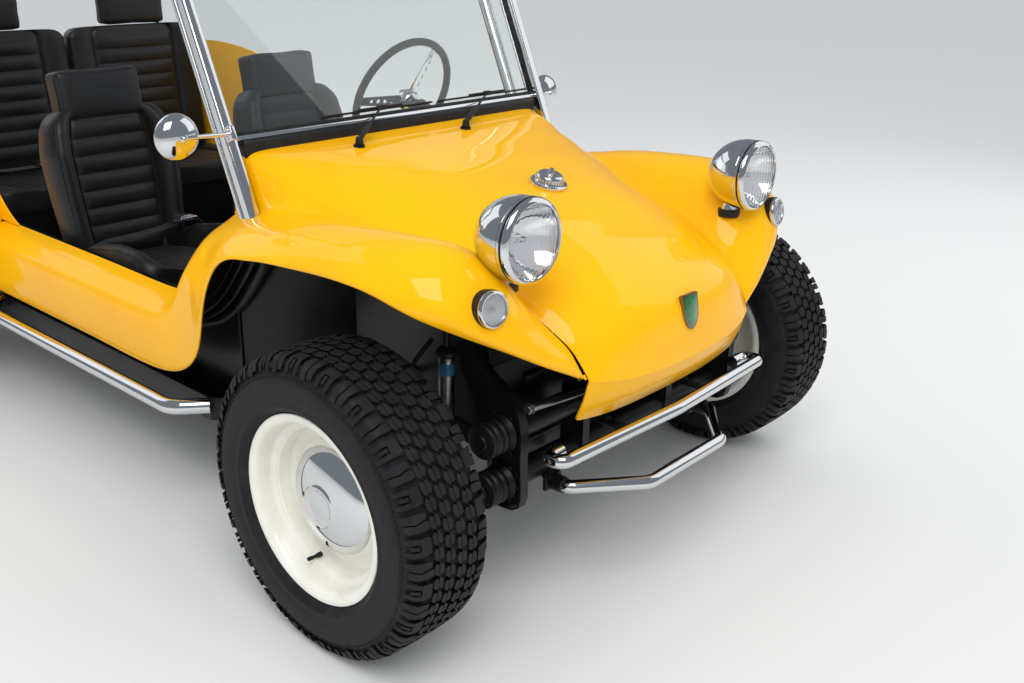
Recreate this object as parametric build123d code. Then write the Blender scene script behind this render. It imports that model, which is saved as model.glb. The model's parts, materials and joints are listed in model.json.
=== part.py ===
from build123d import *

import math
import os

# Four-seat dune buggy. Millimetres, +Z up, the nose points to -Y, the car's left is +X.
# Every piece is modelled with the front axle at Y = 0 and moved once, in save(), so that
# the middle of the overall length lies at Y = 0.

# Overall layout
WHEELBASE = 2400
FRONT_OVERHANG = 400
REAR_OVERHANG = 680
LENGTH = FRONT_OVERHANG + WHEELBASE + REAR_OVERHANG
FRONT_AXLE_Y = FRONT_OVERHANG - LENGTH / 2
REAR_Y = WHEELBASE

# Wheels and tyres
RIM_FLANGE_R = 208
RIM_SEAT_R = 190
RIM_WELL_R = 168
RIM_WALL = 5
FRONT_TYRE_R = 334
FRONT_TYRE_W = 217
FRONT_RIM_W = 182
FRONT_WHEEL_X = 720
REAR_TYRE_R = 350
REAR_TYRE_W = 250
REAR_RIM_W = 208
REAR_WHEEL_X = 725
AXLE_TUBE_R = 42
TYRE_WALL = 14
BEAD_GAP = 0.3
SPINDLE_R = 15
SEAM_ANGLE = 7
SPINDLE_CLEARANCE = 0.05
HUB_LENGTH = 70
HUB_FACE_X = 8
CAP_SEAT_R = 120

# Steering
KINGPIN_X = 600
KINGPIN_R = 14
STEER_LOCK = 28
TIE_ROD_R = 9
WHEEL_RIM_R = 182
WHEEL_RIM_TUBE_R = 11
WHEEL_CENTRE = (320, 912, 952)
COLUMN_RAKE = 22
COLUMN_R = 19
COLUMN_BORE = 12
STEER_ARM = 130
STEER_ARM_Z = 490
ROD_GAP = 0.3

# Front axle beam
BEAM_Y = -178
BEAM_TUBE_R = 29
TYRE_CLEARANCE = 5
ARM_WALL = 14
TYRE_BULGE_R = (FRONT_TYRE_R + RIM_SEAT_R) / 2 - 6
TYRE_INNER_X = FRONT_WHEEL_X - FRONT_TYRE_W / 2 - KINGPIN_X
LOCK_ANGLE = math.radians(STEER_LOCK)
TYRE_SWEEP = TYRE_BULGE_R * math.sin(LOCK_ANGLE) - TYRE_INNER_X * math.cos(LOCK_ANGLE)
ARM_X = KINGPIN_X - TYRE_SWEEP - TYRE_CLEARANCE - ARM_WALL / 2
BEAM_HALF = ARM_X - 32
BEAM_UPPER_Z = 436
BEAM_LOWER_Z = 318
TOWER_X = BEAM_HALF - 32
TOWER_WALL = 10
SHOCK_X = TOWER_X + 32
SHOCK_Y = -30
SHOCK_TOP_Z = 668

# Floor pan
PAN_Z = 268
PAN_WALL = 6
PAN_HALF = 628
PAN_FRONT = 640
PAN_REAR = REAR_Y - 370
TUNNEL_HALF = 82
TUNNEL_HEIGHT = 150
HEAD_HALF = 92
HEAD_TOP = 470
TORSION_Y = REAR_Y - 290
TORSION_Z = 330
TORSION_R = 46
PLATE_X = 486
PLATE_WALL = 12

# Glass-fibre body
SKIN = 7
SEAM = 0.6
SILL_X = 660
SILL_BOTTOM = 362
SILL_TOP = 515
SILL_INNER_X = 565
SILL_INNER_Z = 560
SILL_FRONT = 780
SILL_REAR = REAR_Y - 558
ARCH_X = 700
QUARTER_X = 572
REAR_CROWN_R = 600
REAR_LIP_R = 455
REAR_FENDER_X = 815
TUB_HALF = 548
TUB_FRONT = 338
TUB_REAR = REAR_Y - 475
TUB_WALL = 6
TUB_TOP = 786
SHELF_Z = 490
ENGINE_TOP = 497
ENGINE_Y = REAR_Y + 100

# Windshield
SCREEN_Y = 587
SCREEN_Z = 972
SCREEN_RAKE = 23.5
SCREEN_HALF = 552
SCREEN_HEIGHT = 490
SCREEN_CHANNEL = 25
POST_WIDTH = 30
POST_DEPTH = 50
POST_DROP = 172
GASKET_WIDTH = 9
GLASS_THICKNESS = 6
COWL_GAP = 1
COWL_HALF = SCREEN_HALF - POST_WIDTH / 2 - COWL_GAP

# Roll cage
CAGE_R = 18
CAGE_TOP = 1482
CAGE_FRONT_X = 512
CAGE_REAR_X = 505
CAGE_REAR_Y = REAR_Y + 240
CAGE_REAR_FOOT_Z = 990

# Lamps
HEADLIGHT = (432.6, -248.5, 880.3)
HEADLIGHT_R = 88.5
TURN_SIGNAL = (517.8, -234, 760.4)
TURN_SIGNAL_R = 38

# Front bumpers and rails
UPPER_BAR_R = 17
LOWER_BAR_R = 16
RAIL_R = 20
RAIL_X = 706
RAIL_Z = 311

# Seats
SEAT_X = 330
SEAT_HALF = 205
SEAT_BASE_Z = 330
SEAT_GAP = 0.3
SEAT_FRONT = 1035
SEAT_TOP = 1052
BENCH_MARGIN = 24


def yz_plane(y, z, lift):
    """Section plane across the car whose height direction is tilted: 0 forward, 90 up, 180 back."""
    tilt = math.radians(lift)
    up = Vector(0, -math.cos(tilt), math.sin(tilt))
    return Plane(origin=(0, y, z), x_dir=(1, 0, 0), z_dir=Vector(1, 0, 0).cross(up))


def both_sides(part):
    """The left-hand solid and its mirror image."""
    return [part, mirror(part, about=Plane.YZ)]


def group(parts):
    """Solids that share a node without touching."""
    solids = []
    for part in parts:
        solids.extend(part.solids())
    return Compound(children=solids)


def bar(start, end, radius):
    """Round bar between two points."""
    axis = Vector(end) - Vector(start)
    return Plane(origin=start, z_dir=axis) * Cylinder(
        radius, axis.length, align=(Align.CENTER, Align.CENTER, Align.MIN)
    )


def tube_path(points, radius, bends):
    """Round tube that follows straight runs joined by bends."""
    path = FilletPolyline(*points, radius=bends)
    start = path @ 0
    return sweep(Plane(origin=start, z_dir=path % 0) * Circle(radius), path=path)


def side_plate(outline, x, wall, datum_y=0):
    """Flat plate in a fore-and-aft plane, from (y from the datum, z) corners, centred on x."""
    plane = Plane(origin=(x - wall / 2, datum_y, 0), x_dir=(0, 1, 0), z_dir=(1, 0, 0))
    return extrude(plane * make_face(Polyline(*outline, close=True)), wall)


def turned(profile, centre_x, y, z):
    """Solid of revolution about a wheel axis, from an (outward, radius) face that starts off the upright."""
    start = math.radians(SEAM_ANGLE)
    plane = Plane(origin=(centre_x, y, z), x_dir=(1, 0, 0), z_dir=(0, -math.cos(start), -math.sin(start)))
    return revolve(plane * profile, Axis((centre_x, y, z), (1, 0, 0)))


def dome(x, radius, rise):
    """Arc centred on the axis of a turned section, from (x, radius) to the pole at x + rise."""
    ball = (radius ** 2 + rise ** 2) / (2 * abs(rise))
    outward = math.copysign(1, rise)
    centre = x + rise - outward * ball
    half_turn = math.atan2(radius, outward * (x - centre)) / 2
    middle = (centre + outward * ball * math.cos(half_turn), ball * math.sin(half_turn))
    return ThreePointArc((x, radius), middle, (x + rise, 0))


# Wheels

def tyre(radius, width, seat_w, x, y):
    """Open carcass: round shoulders and bulged sidewalls down to two beads."""
    half = width / 2
    bead = seat_w / 2 - RIM_WALL - BEAD_GAP
    crown = half * 0.82
    bulge_r = (radius + RIM_SEAT_R) / 2 - 6
    foot = RIM_SEAT_R + BEAD_GAP
    lip = RIM_FLANGE_R + 2

    def carcass(grow):
        top = radius - grow
        side = half - grow
        toe = bead - grow
        corner = crown + (side - crown) * 0.6
        edges = [
            Line((-toe, foot), (toe, foot)),
            Line((toe, foot), (toe, lip)),
            ThreePointArc((toe, lip), (side, bulge_r), (corner, top - 22)),
            ThreePointArc((corner, top - 22), (crown + 4, top - 7), (crown - 12, top - 2)),
            ThreePointArc((crown - 12, top - 2), (0, top), (12 - crown, top - 2)),
            ThreePointArc((12 - crown, top - 2), (-crown - 4, top - 7), (-corner, top - 22)),
            ThreePointArc((-corner, top - 22), (-side, bulge_r), (-toe, lip)),
            Line((-toe, lip), (-toe, foot)),
        ]
        return make_face(edges)

    outer = turned(carcass(0), x, y, radius)
    return outer - turned(carcass(TYRE_WALL), x, y, radius)


def rim(width, x, y, z, dish):
    """Deep steel rim: two flanges, drop centre, dished disc and hub boss in one turned section."""
    half = width / 2
    wall = RIM_WALL
    outline = [
        (half, RIM_FLANGE_R),
        (half - wall, RIM_FLANGE_R),
        (half - wall, RIM_SEAT_R),
        (half - 34, RIM_SEAT_R - 3),
        (half - 42, RIM_WELL_R),
        (34 - half, RIM_WELL_R),
        (26 - half, RIM_SEAT_R - 3),
        (wall - half, RIM_SEAT_R),
        (wall - half, RIM_FLANGE_R),
        (-half, RIM_FLANGE_R),
        (-half, RIM_SEAT_R - wall),
        (30 - half, RIM_SEAT_R - 3 - wall),
        (38 - half, RIM_WELL_R - wall),
        (dish - 6, RIM_WELL_R - wall),
        (dish - 4, 148),
        (dish + 2, 136),
        (dish + 12, 124),
        (dish + 13, 106),
        (dish - 8, 90),
        (dish - HUB_LENGTH, 88),
        (dish - HUB_LENGTH, SPINDLE_R + SPINDLE_CLEARANCE),
        (dish, SPINDLE_R + SPINDLE_CLEARANCE),
        (dish, 82),
        (dish + 19, 102),
        (dish + 20, CAP_SEAT_R),
        (dish + 16, 128),
        (dish + 6, 138),
        (dish + 2, 150),
        (dish + 4, RIM_WELL_R - wall),
        (half - 45, RIM_WELL_R - wall),
        (half - 37, RIM_SEAT_R - 3 - wall),
        (half, RIM_SEAT_R - wall - 2),
    ]
    return turned(make_face(Polyline(*outline, close=True)), x, y, z)


def hub_cap(x, y, z, dish):
    """Domed chrome cap with an embossed ring, seated on the bulge of the disc."""
    seat = dish + 20 + BEAD_GAP
    rim_r = CAP_SEAT_R - 1
    ring_r = 42
    wall = 2.5
    face = dish + 57
    profile = [
        Line((seat, rim_r - 7), (seat, rim_r)),
        Line((seat, rim_r), (dish + 27, rim_r - 1)),
        ThreePointArc((dish + 27, rim_r - 1), (dish + 44, 92), (face, ring_r + 4)),
        Line((face, ring_r + 4), (face + 3.5, ring_r)),
        Line((face + 3.5, ring_r), (face + 3.5, ring_r - 6)),
        Line((face + 3.5, ring_r - 6), (face + 1, ring_r - 9)),
        dome(face + 1, ring_r - 9, 3),
        Line((face + 4, 0), (face + 4 - wall, 0)),
        dome(face + 1 - wall, ring_r - 9, 3),
        Line((face + 1 - wall, ring_r - 9), (face - wall, ring_r + 2)),
        ThreePointArc((face - wall, ring_r + 2), (dish + 41, 89), (dish + 25, rim_r - 7)),
        Line((dish + 25, rim_r - 7), (seat, rim_r - 7)),
    ]
    return turned(make_face(profile), x, y, z)


def wheel_set(radius, width, rim_w, x, y, dish):
    """Tyre, rim and cap of one left-hand wheel."""
    return {
        "tyre": tyre(radius, width, rim_w, x, y),
        "rim": rim(rim_w, x, y, radius, dish),
        "hub_cap": hub_cap(x, y, radius, dish),
    }


# Front axle

def knuckle():
    """Stub axle with kingpin carrier, brake backing plate and steering arm, left-hand side."""
    axle_z = FRONT_TYRE_R
    kingpin = bar((KINGPIN_X, 0, 200), (KINGPIN_X, 0, STEER_ARM_Z + 16), KINGPIN_R + 10)
    backing_x = FRONT_WHEEL_X - HUB_LENGTH - 18
    spindle = bar((KINGPIN_X, 0, axle_z), (FRONT_WHEEL_X - 8, 0, axle_z), SPINDLE_R)
    boss = bar((KINGPIN_X, 0, axle_z), (backing_x, 0, axle_z), 30)
    plate = bar((backing_x - 4, 0, axle_z), (backing_x, 0, axle_z), 118)
    low, high = STEER_ARM_Z, STEER_ARM_Z + 16
    arm = side_plate([(0, low), (STEER_ARM + 14, low), (STEER_ARM + 14, high), (0, high)], KINGPIN_X - 6, 22)
    return kingpin + spindle + boss + plate + arm


def trailing_arms():
    """Two forged arms a side, from the beam tubes back to the kingpin carrier."""
    arms = []
    # tube height, pin height
    for tube_z, pin_z in ((BEAM_UPPER_Z, 458), (BEAM_LOWER_Z, 218)):
        eye = bar((BEAM_HALF + ROD_GAP, BEAM_Y, tube_z), (ARM_X + ARM_WALL, BEAM_Y, tube_z), BEAM_TUBE_R + 7)
        reach = side_plate(
            [(BEAM_Y - 14, tube_z - 20), (BEAM_Y + 20, tube_z - 22), (18, pin_z - 11), (18, pin_z + 11),
             (BEAM_Y + 20, tube_z + 22), (BEAM_Y - 14, tube_z + 20)], ARM_X, ARM_WALL)
        pin = bar((ARM_X, 0, pin_z), (KINGPIN_X - KINGPIN_R - 10 - ROD_GAP, 0, pin_z), 11)
        arms.append(eye + reach + pin)
    return arms


def front_beam():
    """Twin torsion tubes joined by the head clamps and the two shock towers."""
    beam = Part()
    for tube_z in (BEAM_UPPER_Z, BEAM_LOWER_Z):
        beam += bar((-BEAM_HALF, BEAM_Y, tube_z), (BEAM_HALF, BEAM_Y, tube_z), BEAM_TUBE_R)
    tower = [(-230, 276), (-148, 262), (-140, 400), (-96, 470), (10, 640), (10, 690), (-70, 690),
             (-98, 600), (-150, 560), (-208, 522), (-232, 482)]
    for side in (-1, 1):
        beam += side_plate(tower, side * TOWER_X, TOWER_WALL)
        beam += side_plate(
            [(BEAM_Y - 34, BEAM_LOWER_Z - 34), (BEAM_Y + 34, BEAM_LOWER_Z - 34),
             (BEAM_Y + 34, BEAM_UPPER_Z + 34), (BEAM_Y - 34, BEAM_UPPER_Z + 34)], side * 170, 24)
        pin_start = (side * (TOWER_X - 4), SHOCK_Y, SHOCK_TOP_Z)
        beam += bar(pin_start, (side * (SHOCK_X + 18), SHOCK_Y, SHOCK_TOP_Z), 8)
    return beam


def front_shocks():
    """Tubular dampers from the tower pin down to the lower arm."""
    x, y, top = SHOCK_X, SHOCK_Y, SHOCK_TOP_Z
    damper = bar((x, y, 300), (x, y, 400), 20)
    damper += bar((x, y, 400), (x, y, 585), 18)
    damper += bar((x, y, 585), (x, y, top - 12), 8)
    damper += bar((x - 15, y, top), (x + 15, y, top), 20) - bar((x - 30, y, top), (x + 30, y, top), 8 + ROD_GAP)
    return both_sides(damper)


def steering_gear():
    """Steering box on the beam."""
    return Pos(150, BEAM_Y + 76, 420) * Box(86, 84, 96)


# Floor pan

def floor_pan():
    """Pressed floor with a raised edge, centre tunnel and the frame head that carries the beam."""
    outline = [(-PAN_HALF, PAN_FRONT), (-HEAD_HALF - 260, 330), (HEAD_HALF + 260, 330), (PAN_HALF, PAN_FRONT),
               (PAN_HALF, PAN_REAR), (-PAN_HALF, PAN_REAR)]
    floor = extrude(Plane.XY.offset(PAN_Z) * make_face(Polyline(*outline, close=True)), PAN_WALL)
    hull = extrude(Plane.XY.offset(PAN_Z) * make_face(Polyline(*outline, close=True)), 62)
    inner = offset(Plane.XY.offset(PAN_Z + PAN_WALL) * make_face(Polyline(*outline, close=True)), -PAN_WALL)
    pan = floor + (hull - extrude(inner, 80))
    rear = TORSION_Y - TORSION_R - ROD_GAP
    tunnel = Pos(0, (330 + rear) / 2, PAN_Z + TUNNEL_HEIGHT / 2) * Box(
        2 * TUNNEL_HALF, rear - 330, TUNNEL_HEIGHT)
    hollow = Pos(0, (330 + rear) / 2 - 10, PAN_Z + TUNNEL_HEIGHT / 2) * Box(
        2 * TUNNEL_HALF - 8, rear - 330, TUNNEL_HEIGHT - 12)
    head = side_plate([(BEAM_Y + 36, 262), (345, 262), (345, PAN_Z + TUNNEL_HEIGHT), (60, HEAD_TOP - 10),
                       (BEAM_Y + 36, HEAD_TOP)], 0, 2 * HEAD_HALF)
    head_hollow = side_plate([(BEAM_Y + 50, 270), (360, 270), (360, PAN_Z + TUNNEL_HEIGHT - 8),
                              (60, HEAD_TOP - 18), (BEAM_Y + 50, HEAD_TOP - 8)], 0, 2 * HEAD_HALF - 12)
    return pan + tunnel - hollow + head - head_hollow


# Body shells

def eased(rows, steps):
    """Extra rows between the given ones, on a smooth curve through every column."""
    flat = [[value for item in row for value in (item if isinstance(item, tuple) else (item,))] for row in rows]
    dense = []
    for index in range(len(flat) - 1):
        before = flat[max(index - 1, 0)]
        start, end = flat[index], flat[index + 1]
        after = flat[min(index + 2, len(flat) - 1)]
        for step in range(steps):
            t = step / steps
            dense.append([
                b + (c - a) * t / 2 + (2 * a - 5 * b + 4 * c - d) * t * t / 2 + (3 * (b - c) + d - a) * t ** 3 / 2
                for a, b, c, d in zip(before, start, end, after)
            ])
    dense.append(flat[-1])
    return dense


def strip(plane, inner, crown, shoulder, lip, wall=SKIN):
    """Thin section: an arc from the inner edge over the crown to the shoulder, then the lip."""
    outer = [Vector(*inner), Vector(*crown), Vector(*shoulder), Vector(*lip)]
    drop = [Vector(inner[0], inner[1] - wall), Vector(crown[0], crown[1] - wall),
            Vector(shoulder[0] - wall, shoulder[1] - wall), Vector(lip[0] - wall, lip[1])]
    edges = [
        ThreePointArc(outer[0], outer[1], outer[2]),
        Line(outer[2], outer[3]),
        Line(outer[3], drop[3]),
        Line(drop[3], drop[2]),
        ThreePointArc(drop[2], drop[1], drop[0]),
        Line(drop[0], outer[0]),
    ]
    return plane * make_face(edges)


def front_fender():
    """Left fender skin: front face, crown over the wheel, then down behind the wheel into the sill."""
    # lip y, lip z, lift, then inner edge, crown and shoulder as (x, height over the lip), and the lip's x
    sections = [
        (-296, 590, 0, (322, 0), (338, 16), (362, 14), 366),
        (-275, 637, 0, (335, 10), (378, 32), (450, 25), 455),
        (-242, 703, 0, (360, -52), (440, 26), (550, 28), 560),
        (-190, 762, 0, (385, -120), (470, 55), (640, 35), 656),
        (-80, 798, 45, (390, -42), (530, 108), (655, 71), ARCH_X),
        (-30, 797, 90, (400, -29), (560, 79), (655, 58), ARCH_X),
        (90, 796, 90, (418, -4), (565, 76), (656, 54), ARCH_X),
        (200, 787, 90, (455, 31), (570, 75), (656, 56), ARCH_X),
        (280, 780, 90, (475, 49), (575, 71), (655, 53), ARCH_X),
        (343, 770, 97, (490, 67), (580, 72), (654, 54), ARCH_X),
        (395, 762, 107, (508, 72), (588, 68), (652, 55), ARCH_X),
        (452, 735, 120, (COWL_HALF - 5, 91), (596, 84), (650, 72), ARCH_X),
        (500, 668, 125, (COWL_HALF + 3, 165), (602, 142), (648, 109), ARCH_X),
        (541, 585, 129, (575, 190), (604, 181), (640, 155), 694),
        (615, 455, 124, (568, 219), (606, 212), (650, 190), 674),
        (SILL_FRONT, SILL_BOTTOM, 90, (SILL_INNER_X, SILL_INNER_Z - SILL_BOTTOM), (612, 545 - SILL_BOTTOM),
         (SILL_X, SILL_TOP - SILL_BOTTOM), SILL_X),
    ]
    faces = []
    for y, z, lift, *points, lip_x in eased(sections, 2):
        inner, crown, shoulder = zip(points[0::2], points[1::2])
        faces.append(strip(yz_plane(y, z, lift), inner, crown, shoulder, (lip_x, 0)))
    sill_end = sections[-1]
    faces.append(strip(yz_plane(SILL_REAR, SILL_BOTTOM, 90), *sill_end[3:6], (SILL_X, 0)))
    return loft(faces, ruled=True)


def hood_section(centre, edge, soft=(0.66, 0.72), side=(0.86, 0.34)):
    """Closed thin section of the hood: crowned middle, soft shoulders and side as shares, edge seam."""
    half, edge_y, edge_z = edge
    rise = Vector(0, centre[0] - edge_y, centre[1] - edge_z)
    height = rise.length
    lift = math.degrees(math.atan2(rise.Z, -rise.Y))
    plane = yz_plane(edge_y, edge_z, lift)
    half -= SEAM
    soft_x = half * soft[0]
    soft_h = height * soft[1]
    side_x = half * side[0]
    side_h = height * side[1]
    in_soft_x, in_soft_h = soft_x - SKIN, soft_h - SKIN
    in_side_x, in_side_h = side_x - SKIN, side_h - SKIN
    edges = [
        ThreePointArc((-soft_x, soft_h), (0, height), (soft_x, soft_h)),
        ThreePointArc((soft_x, soft_h), (side_x, side_h), (half, 0)),
        Line((half, 0), (half, -SKIN)),
        ThreePointArc((half, -SKIN), (in_side_x, in_side_h), (in_soft_x, in_soft_h)),
        ThreePointArc((in_soft_x, in_soft_h), (0, height - SKIN), (-in_soft_x, in_soft_h)),
        ThreePointArc((-in_soft_x, in_soft_h), (-in_side_x, in_side_h), (-half, -SKIN)),
        Line((-half, -SKIN), (-half, 0)),
        ThreePointArc((-half, 0), (-side_x, side_h), (-soft_x, soft_h)),
    ]
    return plane * make_face(edges)


def hood():
    """Hood and nose: boxy cowl that softens forward, rolls over into the nose face and tucks under."""
    # centre (y, z), edge (half width, y, z), soft shoulder and side as shares of half width and height
    stations = [
        ((600, 953), (COWL_HALF, 592, 803), (0.925, 0.98), (0.977, 0.50)),
        ((500, 944), (COWL_HALF - 5, 497, 814), (0.86, 0.86), (0.955, 0.52)),
        ((432, 936), (506, 417, 831), (0.80, 0.82), (0.93, 0.45)),
        ((361, 927), (488, 351, 836), (0.76, 0.79), (0.91, 0.42)),
        ((300, 917), (473, 300, 829), (0.72, 0.76), (0.89, 0.39)),
        ((222, 906), (453, 222, 818), (0.69, 0.74), (0.87, 0.36)),
        ((81, 878), (415, 81, 790), (0.66, 0.72), (0.86, 0.34)),
        ((8, 860), (398, 8, 768), (0.66, 0.72), (0.86, 0.34)),
        ((-130, 808), (371, -128, 733), (0.66, 0.72), (0.86, 0.34)),
        ((-240, 762), (350, -232, 676), (0.66, 0.72), (0.86, 0.34)),
        ((-325, 712), (334, -282, 632), (0.66, 0.72), (0.86, 0.34)),
        ((-362, 655), (326, -308, 603), (0.66, 0.72), (0.86, 0.34)),
        ((-370, 552), (320, -328, 572), (0.66, 0.72), (0.86, 0.34)),
        ((-350, 500), (319, -316, 520), (0.66, 0.72), (0.86, 0.34)),
        ((-300, 445), (316, -294, 467), (0.66, 0.72), (0.86, 0.34)),
    ]
    faces = []
    for centre_y, centre_z, half, edge_y, edge_z, *shares in eased(stations, 2):
        faces.append(hood_section((centre_y, centre_z), (half, edge_y, edge_z), shares[:2], shares[2:]))
    return loft(faces, ruled=True)


def footwell_tub():
    """Black inner tub: toe board, tapered footwell sides and the cockpit side walls."""
    outline = [(-345, TUB_FRONT), (345, TUB_FRONT), (TUB_HALF, 590), (TUB_HALF, TUB_REAR),
               (-TUB_HALF, TUB_REAR), (-TUB_HALF, 590)]
    floor_level = PAN_Z + PAN_WALL
    face = make_face(Polyline(*outline, close=True))
    ring = face - offset(face, -TUB_WALL)
    low = extrude(Plane.XY.offset(floor_level) * ring, SILL_INNER_Z - SKIN - floor_level)
    high = extrude(Plane.XY.offset(floor_level) * ring, TUB_TOP - floor_level)
    high &= Pos(0, 330, 600) * Box(2 * TUB_HALF, 540, 1000)
    return low + high


def quarter():
    """Left rear quarter panel inside the wheel, with its high rounded top edge."""
    floor_level = PAN_Z + PAN_WALL
    pan_edge = -371 - PAN_WALL
    ledge = SILL_INNER_Z + 2
    # corners and arc middles as (y from the rear axle, z)
    edges = [
        Line((-465, floor_level), (pan_edge, floor_level)),
        Line((pan_edge, floor_level), (pan_edge, PAN_Z + 64)),
        Line((pan_edge, PAN_Z + 64), (-290, 500)),
        Line((-290, 500), (446, 500)),
        Line((446, 500), (456, 770)),
        ThreePointArc((456, 770), (400, 900), (280, 965)),
        ThreePointArc((280, 965), (0, 1008), (-300, 992)),
        ThreePointArc((-300, 992), (-415, 945), (-475, 800)),
        ThreePointArc((-475, 800), (-540, 650), (-660, ledge)),
        Line((-660, ledge), (-465, ledge)),
        Line((-465, ledge), (-465, floor_level)),
    ]
    plane = Plane(origin=(QUARTER_X - SKIN / 2, REAR_Y, 0), x_dir=(0, 1, 0), z_dir=(1, 0, 0))
    return extrude(plane * make_face(edges), SKIN)


def rear_body():
    """Both quarters joined by the deck that rolls down behind the rear seat."""
    half = QUARTER_X + 1
    # centre (y from the rear axle, z), edge (y from the rear axle, z)
    stations = [
        ((115, 1012), (115, 998)),
        ((280, 990), (280, 962)),
        ((400, 915), (386, 893)),
        ((468, 780), (446, 772)),
        ((476, 640), (450, 640)),
    ]
    faces = []
    for centre_y, centre_z, edge_y, edge_z in eased(stations, 2):
        faces.append(hood_section((REAR_Y + centre_y, centre_z), (half, REAR_Y + edge_y, edge_z)))
    deck = loft(faces, ruled=True)
    left, right = both_sides(quarter())
    return deck + left + right


def rear_fender():
    """Left rear fender: one section turned about the axle, from the sill over the wheel."""
    inner = QUARTER_X + SKIN / 2 + SEAM
    face = make_face([
        ThreePointArc((inner, REAR_CROWN_R - 15), (690, REAR_CROWN_R), (798, 540)),
        Line((798, 540), (REAR_FENDER_X, REAR_LIP_R)),
        Line((REAR_FENDER_X, REAR_LIP_R), (REAR_FENDER_X - SKIN, REAR_LIP_R)),
        Line((REAR_FENDER_X - SKIN, REAR_LIP_R), (790, 536)),
        ThreePointArc((790, 536), (688, REAR_CROWN_R - SKIN), (inner, REAR_CROWN_R - 15 - SKIN)),
        Line((inner, REAR_CROWN_R - 15 - SKIN), (inner, REAR_CROWN_R - 15)),
    ])
    plane = Plane(origin=(0, REAR_Y, REAR_TYRE_R), x_dir=(1, 0, 0), z_dir=(0, 0, 1))
    axle = Axis((0, REAR_Y, REAR_TYRE_R), (1, 0, 0))
    forward = (plane * face).rotate(axle, 180)
    return revolve(forward, axis=axle.reverse(), revolution_arc=158)


def rear_bulkhead():
    """Seat shelf over the gearbox with its riser and the bulkhead behind the bench."""
    half = QUARTER_X - SKIN / 2 - SEAM
    outline = [(-473, PAN_Z + PAN_WALL), (-467, PAN_Z + PAN_WALL), (-467, SHELF_Z - 6), (46, SHELF_Z - 6),
               (111, 985), (105, 985), (41, SHELF_Z), (-473, SHELF_Z)]
    return side_plate(outline, 0, 2 * half, REAR_Y)


def dashboard():
    """Padded dash below the cowl, open below for the column."""
    outline = [(588, 912), (640, 907), (655, 887), (640, 757), (632, 757), (642, 883), (632, 897), (588, 902)]
    return side_plate(outline, 0, 2 * 494)


# Windshield and cage

def screen_plane(depth=0.0):
    """Raked plane of the windshield; depth moves it back along its own normal."""
    rake = math.radians(SCREEN_RAKE)
    normal = Vector(0, math.cos(rake), -math.sin(rake))
    origin = Vector(0, SCREEN_Y, SCREEN_Z) + normal * depth
    return Plane(origin=origin, x_dir=(-1, 0, 0), z_dir=normal)


def screen_slab(half, low, high, thick, x=0):
    """Rectangular slab that lies in the windshield plane."""
    return screen_plane() * Pos(x, (low + high) / 2, 0) * Box(2 * half, high - low, thick)


def windshield_frame():
    """Chrome channel above and below the glass between two deep posts that run down to the fenders."""
    edge = SCREEN_CHANNEL / 2
    frame = screen_slab(SCREEN_HALF, -edge, edge, SCREEN_CHANNEL)
    frame += screen_slab(SCREEN_HALF, SCREEN_HEIGHT - SCREEN_CHANNEL, SCREEN_HEIGHT, SCREEN_CHANNEL)
    for side in (-1, 1):
        frame += screen_slab(POST_WIDTH / 2, -POST_DROP, SCREEN_HEIGHT, POST_DEPTH, side * SCREEN_HALF)
    return frame


def windshield_gasket():
    """Rubber between channel and glass."""
    half = SCREEN_HALF - POST_WIDTH / 2
    edge = SCREEN_CHANNEL / 2
    top = SCREEN_HEIGHT - SCREEN_CHANNEL
    opening = screen_slab(half - GASKET_WIDTH, edge + GASKET_WIDTH, top - GASKET_WIDTH, SCREEN_CHANNEL)
    return screen_slab(half, edge, top, 14) - opening


def windshield_glass():
    """Flat laminated glass held by the gasket."""
    half = SCREEN_HALF - POST_WIDTH / 2 - GASKET_WIDTH
    low = SCREEN_CHANNEL / 2 + GASKET_WIDTH
    return screen_slab(half, low, SCREEN_HEIGHT - SCREEN_CHANNEL - GASKET_WIDTH, GLASS_THICKNESS)


def cowl_seal(hood_solid):
    """Black seal between the cowl's rear edge and the lower channel."""
    seal = side_plate([(566, 935), (604, 935), (604, 962), (590, 975), (570, 977)], 0, 2 * COWL_HALF - 30)
    pieces = (seal - hood_solid).solids().sort_by(Axis.Z)
    return pieces[-1]


def roll_cage():
    """Polished hoop behind the screen, hoop behind the bench and two roof rails."""
    slope = math.tan(math.radians(SCREEN_RAKE))
    leg_y = SCREEN_Y + 64
    knee_z = 840
    knee_y = leg_y + (knee_z - SCREEN_Z) * slope
    top_y = leg_y + (CAGE_TOP - SCREEN_Z) * slope
    x = CAGE_FRONT_X
    front = tube_path(
        [(x, 622, PAN_Z + PAN_WALL), (x, knee_y, knee_z), (x, top_y, CAGE_TOP),
         (-x, top_y, CAGE_TOP), (-x, knee_y, knee_z), (-x, 622, PAN_Z + PAN_WALL)],
        CAGE_R, [90, 95, 95, 90])
    x = CAGE_REAR_X
    rear = tube_path(
        [(x, CAGE_REAR_Y, CAGE_REAR_FOOT_Z), (x, CAGE_REAR_Y, CAGE_TOP), (-x, CAGE_REAR_Y, CAGE_TOP),
         (-x, CAGE_REAR_Y, CAGE_REAR_FOOT_Z)],
        CAGE_R, 95)
    cage = front + rear
    for side in (-1, 1):
        cage += bar((side * 420, top_y, CAGE_TOP), (side * 408, CAGE_REAR_Y, CAGE_TOP), CAGE_R - 1)
    return cage


# Lamps and trim

def facing_front(profile, x, y, z):
    """Solid of revolution about a fore-and-aft axis, from a (forward, radius) face."""
    plane = Plane(origin=(x, y, z), x_dir=(0, -1, 0), z_dir=(1, 0, 0))
    return revolve(plane * profile, Axis((x, y, z), (0, 1, 0)))


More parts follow.
